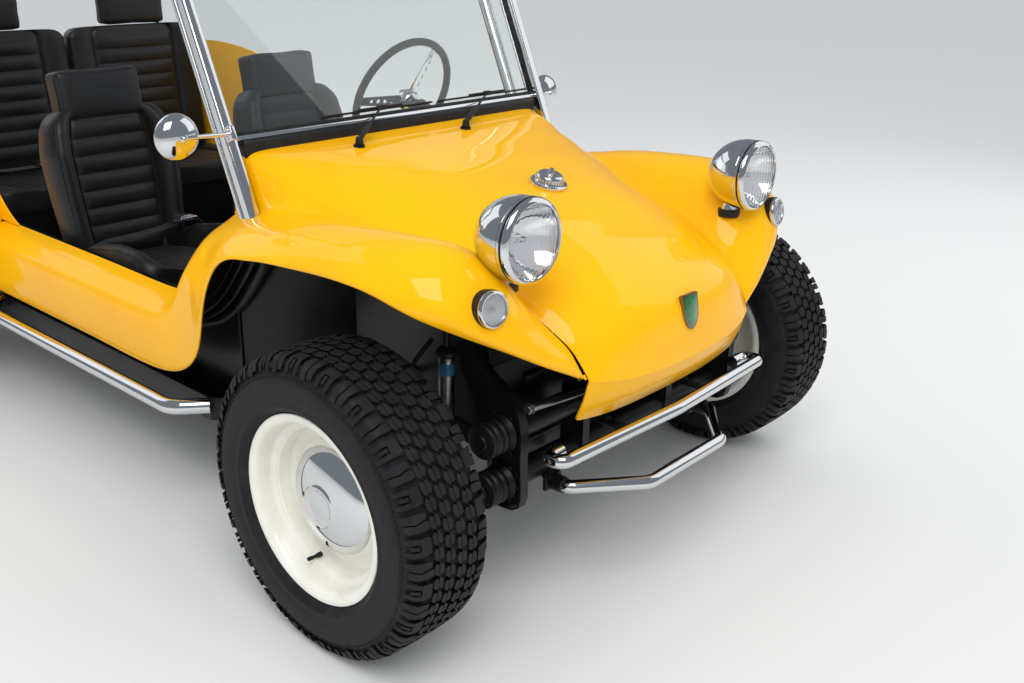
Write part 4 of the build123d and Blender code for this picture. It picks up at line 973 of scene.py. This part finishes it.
class BUGGY_OT_mirrors(bpy.types.Operator):
    """Builds the two round mirrors on bent stems, clamped to the windshield posts"""
    bl_idname = "buggy.mirrors"
    bl_label = "Mirrors"

    def execute(self, context):
        case = ((-13, 44), (-15, 47), (-15, 50.5), (-12, 52.4), (-7, 52.8), (0, 51.6), (8, 47.5), (15, 40),
                (20, 30), (23.4, 18), (24.6, 9), (28, 7), (30.5, 4.5), (31, POLE))
        glass = ((-1, POLE), (-1, 44.5), (0.6, 44.5), (0.6, POLE))
        for name, sign, y, z, root in (
                ("mirror_right", -1, 550, 1010, (-566, 543, 1003)),
                ("mirror_left", 1, 674, 967, (566, 618, 985))):
            root = at(*root)
            stem = tube([at(sign * 700, y - 21, z), at(sign * 668, y - 22, z), root], 5.5, [16], 16, 6)
            clamp = box(root + mm(sign * 4, 0, 0), (14, 30, 34), 3, tilted(ORIGIN, RAKE), 3)
            screws = [bolt(root + mm(sign * 11, 0, rise), (sign, 0, 0), 7, 3, 5) for rise in (-10, 10)]
            parts = lathes((sign * 700, y, z), AHEAD, 64, ("chrome", case))
            parts += [dressed(part, "chrome") for part in (stem, clamp, *screws)]
            parts += lathes((sign * 700, y + 14, z), BACK, 64, ("chrome", glass))
            hand_over(join(parts), name, "chrome", "mirrors")
        return {"FINISHED"}


class BUGGY_OT_filler_cap(bpy.types.Operator):
    """Builds the fluted chrome filler cap with its grip"""
    bl_idname = "buggy.filler_cap"
    bl_label = "Filler cap"

    def execute(self, context):
        spot, upward = at(0, 65, 880), (0, -0.24, 0.97)
        body = ((-8, POLE), (-8, 45), (-1, 47), (2.4, 46), (4, 42), (4.4, 36), (7, 34.4), (16, 33.8), (20, 32),
                (23, 28), (23.6, 20), (22, 16), (22, POLE))
        body = turned(body, spot, upward)
        turns = [Matrix.Rotation(math.tau * index / 28, 4, "Z") for index in range(28)]
        ribs = [box(turn @ mm(34.2, 0, 11.5), (3.2, 3.4, 9), 1.2, turn) for turn in turns]
        grip = box(mm(0, 0, 24.5), (54, 13, 11), 4.5, Matrix.Rotation(0.6, 4, "Z"), 4)
        crown = settle(join(ribs + [grip]), aimed(spot, upward))
        hand_over(join([body, crown]), "fuel_cap", "chrome", "fuel_cap")
        return {"FINISHED"}


class BUGGY_OT_nose_shield(bpy.types.Operator):
    """Builds the blank enamel shield on the nose in its metal tray"""
    bl_idname = "buggy.nose_shield"
    bl_label = "Nose shield"

    def execute(self, context):
        half = ((0, -42), (9, -38.5), (18, -30.5), (25, -18), (28.4, -4), (29, 10), (29, 40))
        outline = list(half) + [(-x, z) for x, z in reversed(half)][:-1]
        tray = plate([mm(x, 0, z) for x, z in outline], mm(0, 12, 0), 1.2)
        enamel = plate([mm(x * 0.82, -0.4, z * 0.86 + 0.68) for x, z in outline], mm(0, 6, 0), 0.5)
        shield = join([dressed(tray, "brass"), dressed(enamel, "green_enamel")])
        settle(shield, tilted(at(0, -365.5, 655), -10.2))
        hand_over(shield, "nose_shield", "green_enamel", "nose_badge")
        return {"FINISHED"}


class BUGGY_OT_bumpers(bpy.types.Operator):
    """Builds the upper front bumper with its turned-in ends, and the straps and feet of both bars"""
    bl_idname = "buggy.bumpers"
    bl_label = "Front bumpers"

    def execute(self, context):
        strap = [
            box(at(160, -250, 402), (30, 132, 7), 2.4, segments=3),
            box(at(160, -318, 395), (30, 7, 22), 2.4, segments=3),
            bolt(at(160, -262, 406), UP, 15, 8, 12), bolt(at(160, -226, 406), UP, 15, 8, 12)]
        foot = [
            box(at(293, -210, 284), (44, 12, 44), 3, segments=3),
            rod(at(293, -216, 284), at(293, -252, 284), 20, 19),
            rod(at(293, -206, 290), at(293, -180, 306), 14),
            bolt(at(278, -217, 300), AHEAD, 11, 6, 9), bolt(at(308, -217, 300), AHEAD, 11, 6, 9)]
        hand_over(with_mirror(join(strap + foot)), "bumper_straps", "black_pan", "bumper_brackets")

        half = ((352, -283, 405), (404, -284, 406), (404, -332, 411))
        corners = [at(*p) for p in half] + [at(0, -350, 411)] + [at(-x, y, z) for x, y, z in reversed(half)]
        bar = tube(corners, 16, [22, 22, 400, 22, 22], 32)
        hand_over(bar, "upper_bumper_bar", "chrome", "upper_bumper")
        return {"FINISHED"}


# Across a pleated pad, from its middle round the bolster to the middle of its back: across, through
PAD_SECTION = (
    (0, 0), (45, 0), (90, 0), (118, -1), (125, 3), (129, 9), (132, 4), (136, -12), (145, -28), (160, -38),
    (175, -40), (189, -33), (199, -17), (204, 6), (204, 34), (199, 62), (186, 80), (160, 90), (110, 95),
    (55, 96), (0, 96))
INSERT_HALF, PAD_MIDDLE = 126.0, 40.0
WELTS = ((11, 1.2), (5, -4.0))      # corner of the section that each welt follows, and its offset
PLEAT_SHARES = (0.0, 0.05, 0.16, 0.32, 0.5, 0.68, 0.84, 0.95)
PLEAT_DEPTH = 9.0

# Along a pad from its first pleat: place, width, height of the bolsters
BACK_SHAPE = ((0, 0.88, 0.6), (60, 0.93, 0.95), (200, 1.0, 1.2), (330, 1.03, 1.3), (400, 0.97, 1.1),
              (440, 0.88, 0.7), (470, 0.80, 0.3))
CUSHION_SHAPE = ((0, 0.93, 1.0), (80, 0.99, 1.7), (240, 1.02, 2.0), (330, 1.01, 1.7), (380, 1.0, 1.1),
                 (420, 0.96, 0.4))
BENCH_SHAPE = ((0, 1.30, 0.25), (480, 1.30, 0.25))

SIDE_PULL = 4.0                     # how far a stuffed block's sides pull in between its corners
BELT_WIDTH, BELT_THICK = 47.0, 1.6


def between(table, place):
    """Values read off a short table of (place, value, ...) rows by straight lines."""
    for low, high in zip(table, table[1:]):
        if place <= high[0]:
            share = max(0.0, (place - low[0]) / (high[0] - low[0]))
            return [a + (b - a) * share for a, b in zip(low[1:], high[1:])]
    return list(table[-1][1:])


def pad_ring(along, pleat, width, lift, shrink):
    """One closed ring of a pad, with its first corner given twice."""
    half = []
    for x, y in PAD_SECTION:
        if x < INSERT_HALF and y < PAD_MIDDLE:
            y -= pleat * (1 - (x / INSERT_HALF) ** 6)
        elif y < 0:
            y *= lift
        half.append((x * width * shrink, PAD_MIDDLE + (y - PAD_MIDDLE) * shrink))
    return [mm(x, y, along) for x, y in half + [(-x, y) for x, y in reversed(half[1:-1])] + half[:1]]


def pleated_pad(matrix, pleats, pitch, shape):
    """A pad with side bolsters and crosswise pleats; the shape gives width and bolsters along its length."""
    length = pleats * pitch
    rows = [pad_ring(along, 0, *shape[0][1:], shrink)
            for along, shrink in ((-34, 0.80), (-30, 0.90), (-18, 0.97))]
    for index in range(pleats):
        for share in PLEAT_SHARES:
            along = (index + share) * pitch
            swell = PLEAT_DEPTH * (1 - abs(2 * share - 1) ** 2.4)
            rows.append(pad_ring(along, swell, *between(shape, along), 1.0))
    for past, shrink in ((0, 1.0), (18, 0.97), (30, 0.90), (36, 0.80)):
        rows.append(pad_ring(length + past, 0, *between(shape, length + past), shrink))
    made = sheet(rows)
    edit(made)
    face_outward(merge=1e-5)
    bpy.ops.mesh.fill_holes(sides=0)
    bpy.ops.mesh.normals_make_consistent(inside=False)
    close_edit()
    apply_modifier(made, "SUBSURF", levels=1)
    welts = []
    for index, offset in WELTS:
        for sign in (-1, 1):
            corners = [row[index] for row in rows[3:-3:3]]
            path = [Vector((sign * corner.x, corner.y + offset / 1000, corner.z)) for corner in corners]
            welts.append(tube(path, 1.7, sides=8))
    return settle(join([made] + welts), matrix)


def crowned(matrix, size, radius, crown):
    """A stuffed block with a welt: rounded corners, a crowned face and back, and sides that pull in."""
    deselect()
    bpy.ops.mesh.primitive_cube_add(size=2)
    made = bpy.context.object
    edit(made)
    bpy.ops.mesh.subdivide(number_cuts=9)
    close_edit()
    half = [side / 2 for side in size]
    for corner in made.data.vertices:
        share = [math.copysign(1 - (1 - abs(v)) ** 1.5, v) for v in corner.co]
        raw = Vector([h * s for h, s in zip(half, share)])
        core = Vector([max(-h + radius, min(h - radius, v)) for h, v in zip(half, raw)])
        out = raw - core
        spot = core + out.normalized() * radius if out.length > 0 else raw
        flat_x, flat_z = 1 - share[0] ** 2, 1 - share[2] ** 2
        spot += Vector((-SIDE_PULL * share[0] * flat_z, crown * share[1] * flat_x * flat_z,
                        -SIDE_PULL * share[2] * flat_x))
        corner.co = spot / 1000
    apply_modifier(made, "SUBSURF", levels=1)
    loop = []
    for turn in range(96):
        x, z = math.cos(math.tau * turn / 96), math.sin(math.tau * turn / 96)
        reach = (abs(x) ** 7 + abs(z) ** 7) ** (-1 / 7)
        x, z = x * reach, z * reach
        loop.append(mm(x * (half[0] - SIDE_PULL * (1 - min(1, abs(z)))), radius * 1.05 - half[1],
                       z * (half[2] - SIDE_PULL * (1 - min(1, abs(x))))))
    return settle(join([made, tube(loop + loop[:1], 2.2, sides=8)]), matrix)


def soft(piece, name, *replaced):
    """Hands over a stuffed piece."""
    hand_over(piece, name, "black_vinyl", *replaced, angle=70)


def cushion(place, degrees, pitch, shape, name, *replaced):
    """Lays a pleated pad flat, with its length pointing forward, and hands it over."""
    forward = Matrix(((1, 0, 0, 0), (0, 0, -1, 0), (0, -1, 0, 0), (0, 0, 0, 1)))
    made = pleated_pad(tilted(at(*place), degrees) @ forward, 7, pitch, shape)
    made.data.flip_normals()
    soft(made, name, *replaced)


class BUGGY_OT_front_seats(bpy.types.Operator):
    """Builds the two front bucket seats: pleated cushion and back with bolsters, headrest with a welt"""
    bl_idname = "buggy.front_seats"
    bl_label = "Front seats"

    def execute(self, context):
        for sign, side in SIDES:
            lean = tilted(at(sign * 340, 1478, 476), -9.5)
            soft(pleated_pad(lean, 8, 53.0, BACK_SHAPE), f"seat_back_{side}")
            soft(crowned(lean @ Matrix.Translation(mm(0, 40, 497)), (272, 96, 156), 24, 7), f"headrest_{side}")
            cushion((sign * 338, 1452, 486), -7, 53.0, CUSHION_SHAPE, f"seat_cushion_{side}", "front_seats")
        return {"FINISHED"}


class BUGGY_OT_rear_bench(bpy.types.Operator):
    """Builds the rear bench: two pleated cushions, two pleated backs and two headrests"""
    bl_idname = "buggy.rear_bench"
    bl_label = "Rear bench"

    def execute(self, context):
        for sign, side in SIDES:
            cushion((sign * 272, 2360, 588), -4, 55.0, BENCH_SHAPE, f"bench_cushion_{side}", "rear_bench")
            lean = tilted(at(sign * 272, 2390, 626), -5.5)
            soft(pleated_pad(lean, 8, 53.0, BENCH_SHAPE), f"bench_back_{side}")
            rest = crowned(Matrix.Translation(at(sign * 290, 2470, 1142)), (270, 62, 118), 20, 5)
            soft(rest, f"bench_headrest_{side}")
        return {"FINISHED"}


def webbing(path):
    """Flat belt webbing laid along a path of places, with its width lying fore and aft."""
    side = Vector((0, 1, 0.02)).normalized() * BELT_WIDTH / 2000
    made = sheet(blend_rows([[p + side * share for share in (-1, -0.5, 0, 0.5, 1)] for p in path], 5))
    apply_modifier(made, "SOLIDIFY", thickness=BELT_THICK / 1000, offset=1.0)
    return made


class BUGGY_OT_belts(bpy.types.Operator):
    """Lays the lap belts over the cushions, with their bright lift-latch buckles"""
    bl_idname = "buggy.belts"
    bl_label = "Lap belts"

    def execute(self, context):
        # Each row of seats: a seat's middle, the paths outside and inside of the buckle, and the buckle's place
        rows = (
            ((338, 1395, 488),
             ((166, 140, 12), (120, 96, 40), (60, 54, 54), (0, 26, 64), (-60, 6, 76), (-112, -4, 88)),
             ((-160, -4, 92), (-184, 4, 88), (-204, 16, 62), (-216, 30, 14), (-218, 40, -40)), (-136, -6, 98)),
            ((272, 2300, 612),
             ((200, 26, -46), (186, 12, 26), (150, 0, 28), (105, -6, 8), (0, -10, 7), (-60, -12, 9)),
             ((-90, -12, 10), (-112, -6, 9), (-150, 0, 30), (-190, 12, 28), (-203, 26, -40)), (-74, -12, 18)))
        straps, buckles = [], []
        for (x, y, z), outer, inner, latch in rows:
            for sign in (-1, 1):
                for path in (outer, inner):
                    places = [at(sign * (x + across), y + back, z + up) for across, back, up in path]
                    straps.append(webbing(places))
                spot = at(sign * (x + latch[0]), y + latch[1], z + latch[2])
                buckles += [
                    box(spot, (58, 56, 12), 3, segments=3),
                    box(spot + mm(sign * 6, 0, 8), (40, 50, 5), 2, segments=3),
                    box(spot + mm(sign * 38, 0, -2), (24, 52, 4), 1.5)]
        hand_over(dressed(join(straps), "webbing"), "lap_belts", "black_vinyl")
        hand_over(join(buckles), "belt_buckles", "chrome")
        return {"FINISHED"}


STEERING = tilted(at(320, 912, 952), 22 - 90)       # the column's axes, with Z along the column to the driver


class BUGGY_OT_steering(bpy.types.Operator):
    """Builds the steering wheel with drilled spokes, and the column cowl with its two stalks"""
    bl_idname = "buggy.steering"
    bl_label = "Steering wheel"

    def execute(self, context):
        deselect()
        bpy.ops.mesh.primitive_torus_add(
            location=mm(0, 0, 24), major_radius=0.182, minor_radius=0.0115, major_segments=96,
            minor_segments=20)
        wheel = [dressed(settle(context.object, Matrix.Identity(4)), "black_rim", 60)]
        for degrees in (60, 180, 300):
            spoke = plate([mm(*p) for p in ((26, -19, 0), (174, -13, 22), (174, 13, 22), (26, 19, 0))],
                          mm(0, 0, 3.5), 0.8)
            cutter = join([rod(mm(x, 0, -20), mm(x, 0, 50), radius, steps=24)
                           for x, radius in ((58, 8.5), (84, 7.8), (109, 7.0), (133, 6.2))])
            apply_modifier(spoke, "BOOLEAN", object=cutter, operation="DIFFERENCE")
            bpy.data.objects.remove(cutter)
            wheel.append(dressed(settle(spoke, tilted(ORIGIN, degrees, "Z")), "chrome"))
        hub = ((-18, POLE), (-18, 30), (-10, 34), (2, 34), (12, 31), (22, 24), (27, 22), (31, 20), (33, 14),
               (33.6, POLE))
        wheel.append(dressed(turned(hub, ORIGIN, UP, 48), "chrome"))
        collar = ((-78, POLE), (-78, 11.5), (-18, 11.5), (-18, POLE))
        wheel.append(dressed(turned(collar, ORIGIN, UP, 24), "steel"))
        made = settle(join(wheel), STEERING)
        hand_over(made, "steering_wheel", "black_rim", "steering_wheel", body="steering_wheel")

        cowl = ((-44, 19.5), (-46, 27), (-52, 31), (-128, 30), (-150, 26), (-154, 19.5))
        parts = [turned(cowl, ORIGIN, UP, 40)]
        for reach, drop in ((1, 4), (-1, -6)):
            root = mm(0, 24 * reach, -84)
            bend, end = mm(92 * reach, 34 * reach + drop, -70), mm(132 * reach, 40 * reach + drop, -58)
            parts.append(tube([root, bend, end], 3.8, [20], 12, 5))
            parts.append(rod(bend.lerp(end, 0.45), end + (end - bend) * 0.35, 7.5, 6.5, 16))
        hand_over(settle(join(parts), STEERING), "column_cowl", "black_rim")
        return {"FINISHED"}


class BUGGY_OT_gauges(bpy.types.Operator):
    """Builds the dashboard's five gauges with bezels, needles and panes, and its four switches"""
    bl_idname = "buggy.gauges"
    bl_label = "Gauges"

    def execute(self, context):
        parts = []
        for x, z, r in ((320, 822, 50), (200, 826, 27), (128, 826, 27), (432, 826, 27), (56, 826, 27)):
            bezel = ((-3, r + 1), (0, r + 3), (6, r + 2.6), (8, r), (5, r - 2), (3, r - 2))
            face = ((3, POLE), (3, r - 1.6), (2, r - 1.6))
            pane = ((0, POLE), (0, r - 1.8), (1.2, r - 1.8), (1.2, POLE))
            parts += lathes((x, 637, z), BACK, 48, ("chrome", bezel), ("black_rim", face))
            needle = box(at(x, 641.5, z + r * 0.3), (2, 1, r * 0.78), 0.3, Matrix.Rotation(0.5, 4, "Y"))
            parts += [dressed(needle, "cream_enamel")] + lathes((x, 643, z), BACK, 48, ("lamp_glass", pane))
        knob = ((0, 8), (3, 9), (6, 8), (9, 5), (20, 5), (24, 8), (30, 8), (32, 5), (32, POLE))
        for x in (-60, -100, -140, -180):
            parts += lathes((x, 640, 822), BACK, 20, ("black_rim", knob))
        hand_over(join(parts), "gauges", "chrome")
        return {"FINISHED"}


# The front edge of a shock tower, from its foot to its top: y, z
TOWER_EDGE = ((-150, 262), (-232, 276), (-236, 380), (-234, 470), (-208, 520), (-152, 556), (-100, 602),
              (-76, 650), (-70, 688), (-30, 694), (12, 690))
BEAM_TUBES = (436, 318)             # heights of the two tubes' ends
BEAM_SEAL = ((0, 30), (2, 42), (8, 44), (12, 40), (20, 37), (24, 40), (28, 41), (32, 40), (35, 37), (40, 36.8),
             (43, 40), (48, 41), (52, 40), (55, 37), (61, 36.8), (64, 40), (68, 41), (72, 39), (75, 33),
             (75.5, 18), (78, 16), (78, POLE))


class BUGGY_OT_front_axle(bpy.types.Operator):
    """Adds the tower flanges with the beam's seals, the shocks, the tie bars and the brake hoses"""
    bl_idname = "buggy.front_axle"
    bl_label = "Front axle details"

    def execute(self, context):
        parts = []
        for sign in (-1, 1):
            rows = [[at(sign * x, y, z) for x in (408, 414, 424, 432)] for y, z in TOWER_EDGE]
            flange = sheet(blend_rows(rows, 4))
            apply_modifier(flange, "SOLIDIFY", thickness=0.005, offset=0.0)
            edit(flange)
            face_outward()
            close_edit()
            parts.append(flange)
            outward = (sign, 0, 0)
            for z in BEAM_TUBES:
                parts.append(turned(BEAM_SEAL, at(sign * 418, -178, z), outward, 40))
                for index in range(6):
                    angle = math.tau * index / 6
                    spot = at(sign * 420, -178 + 47 * math.cos(angle), z + 47 * math.sin(angle))
                    parts.append(bolt(spot, outward, 10, 5, 8))
        hand_over(join(parts), "tower_flanges", "black_pan")

        lower = ((296, POLE), (296, 21), (300, 23), (388, 23), (396, 20), (400, 19))
        body = ((400, 19), (404, 20.5), (408, 20.5), (412, 18.2), (538, 18.2))
        band = ((538, 18.2), (538.2, 18.5), (565.8, 18.5), (566, 18.2))
        upper = ((566, 18.2), (578, 18.2), (582, 16), (582, POLE))
        cap = ((580, POLE), (580, 21), (584, 23.5), (592, 23.5), (597, 19), (603, 12), (603, 8.2), (640, 8.2),
               (642, 17), (648, 19.5), (654, 17), (655, POLE))
        eye = ((0, 9), (0, 19), (3, 21), (29, 21), (32, 19), (32, 9))
        parts = lathes((446, -30, 0), UP, 36, ("black_pan", lower), ("steel", body), ("blue_paint", band),
                       ("steel", upper), ("black_pan", cap))
        parts += lathes((430, -30, 668), LEFT, 32, ("rubber", eye))
        parts.append(dressed(bolt(at(464, -30, 668), LEFT, 19, 10, 14), "steel"))
        both_hands(parts, "front_shocks", "steel", "front_shocks")

        parts = [dressed(rod(at(408, -246, 511), at(120, -250, 486), 8.5, steps=20), "steel"),
                 dressed(bolt(at(412, -246, 511), LEFT, 19, 9, 13), "steel")]
        hose = [at(*p) for p in ((430, 30, 600), (470, 40, 560), (540, 10, 520), (580, -10, 440))]
        parts.append(dressed(tube(hose, 5.5, [30, 30], 12, 6), "rubber"))
        both_hands(parts, "tie_bars", "steel")
        return {"FINISHED"}


class BUGGY_OT_well_linings(bpy.types.Operator):
    """Lines the front wheel wells, with their curved ribs, and sets a black panel behind the beam as painted
    shade
    """
    bl_idname = "buggy.well_linings"
    bl_label = "Wheel well linings"

    def execute(self, context):
        lining = [plate([at(554, y, z) for y, z in (
            (586, 300), (586, 792), (622, 768), (646, 736), (680, 684), (714, 624), (748, 584), (790, 556),
            (830, 552), (830, 300))], mm(5, 0, 0), 1.0, 1)]
        for shift in (0, 40, 80):
            path = [at(547, y + shift * share, z) for y, z, share in (
                (452, 772, 0.6), (474, 709, 1), (530, 639, 1), (593, 573, 1), (665, 521, 1), (755, 487, 0.6))]
            lining.append(tube([row[0] for row in blend_rows([[p] for p in path], 6)], 20, sides=20))
        hand_over(with_mirror(join(lining)), "well_linings", "black_gelcoat")

        # Painted shade: a black panel with wings and swages behind the beam, which darkens the gaps between its
        # tubes
        wall = plate([at(x, -112, z) for x, z in ((396, 292), (396, 560), (-396, 560), (-396, 292))],
                     mm(0, 4, 0), 1.0, 1)
        # Each wing has a slot through which the tie rod moves
        wing = plate([at(396, y, z) for y, z in (
            (-112, 372), (-112, 640), (330, 640), (330, 500), (108, 500), (108, 458), (330, 458), (330, 372))],
            mm(-4, 0, 0), 1.0, 1)
        swages = [box(at(0, -114, z), (560, 12, 26), 5.5, segments=3) for z in (352, 500)]
        hand_over(join([wall, with_mirror(wing), *swages]), "painted_shade_apron", "black_gelcoat")
        return {"FINISHED"}


PULLEYS = ((372, 86, 79), (640, 52, 45))    # each one's height and radius, and the radius of the belt on it
BELT_Y = 2894


class BUGGY_OT_engine_detail(bpy.types.Operator):
    """Adds cylinder fins, rocker covers with bails, pulleys and the fan belt to the engine"""
    bl_idname = "buggy.engine_detail"
    bl_label = "Engine details"

    def execute(self, context):
        parts = [box(at(x, y, 372), (3, 118, 150), 1.2) for x in range(140, 253, 14) for y in (2610, 2750)]
        parts.append(box(at(384, 2680, 362), (44, 300, 96), 14, segments=4))
        bail = [at(*p) for p in ((384, 2546, 330), (410, 2600, 352), (410, 2760, 352), (384, 2814, 330))]
        parts.append(tube(bail, 3, [30, 30], 10, 5))
        hand_over(with_mirror(join(parts)), "engine_fins", "cast_alloy")

        bright, loop = [], []
        for z, r, run in PULLEYS:
            groove = ((0, 12), (0, r), (5, r), (10, r - 10), (15, r), (20, r), (20, r - 12), (12, r - 16),
                      (12, 14), (24, 12), (24, POLE))
            bright.append(turned(groove, at(0, BELT_Y - 10, z), BACK, 48))
        hand_over(join(bright), "pulleys", "steel")
        for index in range(64):
            angle = math.tau * index / 64
            z, r, run = PULLEYS[0] if math.sin(angle) < 0 else PULLEYS[1]
            loop.append(at(run * math.cos(angle), BELT_Y, z + run * math.sin(angle)))
        hand_over(tube(loop + loop[:1], 5.5, sides=8), "fan_belt", "rubber")
        return {"FINISHED"}


class BUGGY_OT_frame_finishes(bpy.types.Operator):
    """Gives each carried-over frame part the finish of its material slot"""
    bl_idname = "buggy.frame_finishes"
    bl_label = "Frame finishes"

    def execute(self, context):
        for part in frame["record"]["subparts"]:
            node = frame["nodes"][part["node"]]
            node.data.materials.clear()
            node.data.materials.append(finish(part["material_slot"]))
        return {"FINISHED"}


# The camera, as solved from the picture: its place, its line of sight, and its level and roll in radians
CAMERA_PLACE = (-1.97444555, -2.92013817, 1.45026503)
CAMERA_AHEAD = (0.69774331, 0.62026008, -0.3583737)
CAMERA_LEVEL, CAMERA_ROLL = 0.8441, -0.0174
CAMERA_LENS, CAMERA_SENSOR = 37.69, 36.0
LAMP_AIM = Vector((0, 0, 0.5))


class BUGGY_OT_stage(bpy.types.Operator):
    """Lays the floor and backdrop, hangs the soft lamps and sets the camera"""
    bl_idname = "buggy.stage"
    bl_label = "Stage"

    def execute(self, context):
        stage = buggy().stage
        deselect()
        bpy.ops.mesh.primitive_plane_add(size=60)
        floor = context.object
        floor.name = "floor"
        mottle = ((0.2, stage.floor_code), (0.8, "#E4E3DF"))
        ground = make_finish("Pale studio floor", (900, 2), mottle, Roughness=0.85, IOR=1.45)
        floor.data.materials.append(ground)

        # Bright parts see a dimmer sky than the paint does, and the camera sees a plain backdrop
        world = bpy.data.worlds.new("Studio")
        context.scene.world = world
        world.use_nodes = True
        tree = world.node_tree
        tree.nodes.clear()
        rays = add_node(tree, "ShaderNodeLightPath").outputs
        seen = add_node(tree, "ShaderNodeMath", {0: rays["Is Camera Ray"], 1: rays["Is Transmission Ray"]},
                        operation="MAXIMUM")
        soft_sky, dim_sky, backdrop = (
            add_node(tree, "ShaderNodeBackground", {"Color": linear(code), "Strength": strength}).outputs[0]
            for code, strength in (("#EEF3FA", 0.92), ("#DCE4F0", 0.30), ("#E6EAF0", 0.75)))
        sky = add_node(tree, "ShaderNodeMixShader", {0: rays["Is Glossy Ray"], 1: soft_sky, 2: dim_sky})
        sky = add_node(tree, "ShaderNodeMixShader", {0: seen.outputs[0], 1: sky.outputs[0], 2: backdrop})
        add_node(tree, "ShaderNodeOutputWorld", {"Surface": sky.outputs[0]})

        for name, power, size, spot in (
                ("Key lamp", stage.key_power, 3.0, (-2.6, -3.2, 4.6)),
                ("Fill lamp", stage.fill_power, 4.0, (3.8, -2.2, 3.2)),
                ("Back lamp", stage.fill_power, 4.0, (-1.0, 4.4, 3.6))):
            deselect()
            bpy.ops.object.light_add(type="AREA", location=spot)
            lamp = context.object
            lamp.name = name
            lamp.data.energy, lamp.data.size = power, size
            lamp.rotation_euler = (LAMP_AIM - Vector(spot)).to_track_quat("-Z", "Y").to_euler()

        deselect()
        bpy.ops.object.camera_add()
        camera = context.object
        camera.name = "Camera"
        ahead = Vector(CAMERA_AHEAD)
        level = Vector((math.cos(CAMERA_LEVEL), -math.sin(CAMERA_LEVEL), 0))
        down = ahead.cross(level)
        right = level * math.cos(CAMERA_ROLL) + down * math.sin(CAMERA_ROLL)
        upward = level * math.sin(CAMERA_ROLL) - down * math.cos(CAMERA_ROLL)
        axes = Matrix((right, upward, -ahead)).transposed()
        camera.matrix_world = Matrix.Translation(CAMERA_PLACE) @ axes.to_4x4()
        camera.data.sensor_width, camera.data.lens = CAMERA_SENSOR, CAMERA_LENS
        context.scene.camera = camera
        context.scene.view_settings.view_transform = "Standard"
        return {"FINISHED"}


class BUGGY_PT_panel(bpy.types.Panel):
    """Lists the steps that make the buggy"""
    bl_idname = "BUGGY_PT_panel"
    bl_label = "Beach buggy"
    bl_space_type = "VIEW_3D"
    bl_region_type = "UI"
    bl_category = "Buggy"

    def draw(self, context):
        settings = context.scene.buggy
        for group in (settings.body, settings.tyres, settings.stage):
            rows = self.layout.box()
            for prop in group.bl_rna.properties:
                if prop.identifier not in {"rna_type", "name"}:
                    rows.prop(group, prop.identifier)
        for step in STEPS:
            self.layout.operator(step.bl_idname)


GROUPS = (BodySettings, TyreSettings, StageSettings, BuggySettings)
STEPS = (
    BUGGY_OT_stage, BUGGY_OT_frame_finishes, BUGGY_OT_body_shell, BUGGY_OT_wheels, BUGGY_OT_lamps,
    BUGGY_OT_screen, BUGGY_OT_wipers, BUGGY_OT_mirrors, BUGGY_OT_filler_cap, BUGGY_OT_nose_shield,
    BUGGY_OT_bumpers, BUGGY_OT_front_seats, BUGGY_OT_rear_bench, BUGGY_OT_belts, BUGGY_OT_steering,
    BUGGY_OT_gauges, BUGGY_OT_front_axle, BUGGY_OT_well_linings, BUGGY_OT_engine_detail)


def register():
    for item in (*GROUPS, *STEPS, BUGGY_PT_panel):
        bpy.utils.register_class(item)
    bpy.types.Scene.buggy = bpy.props.PointerProperty(type=BuggySettings)


def unregister():
    del bpy.types.Scene.buggy
    for item in reversed((*GROUPS, *STEPS, BUGGY_PT_panel)):
        bpy.utils.unregister_class(item)


def main():
    register()
    for step in STEPS:
        group, name = step.bl_idname.split(".")
        getattr(getattr(bpy.ops, group), name)()


if __name__ == "__main__":
    main()
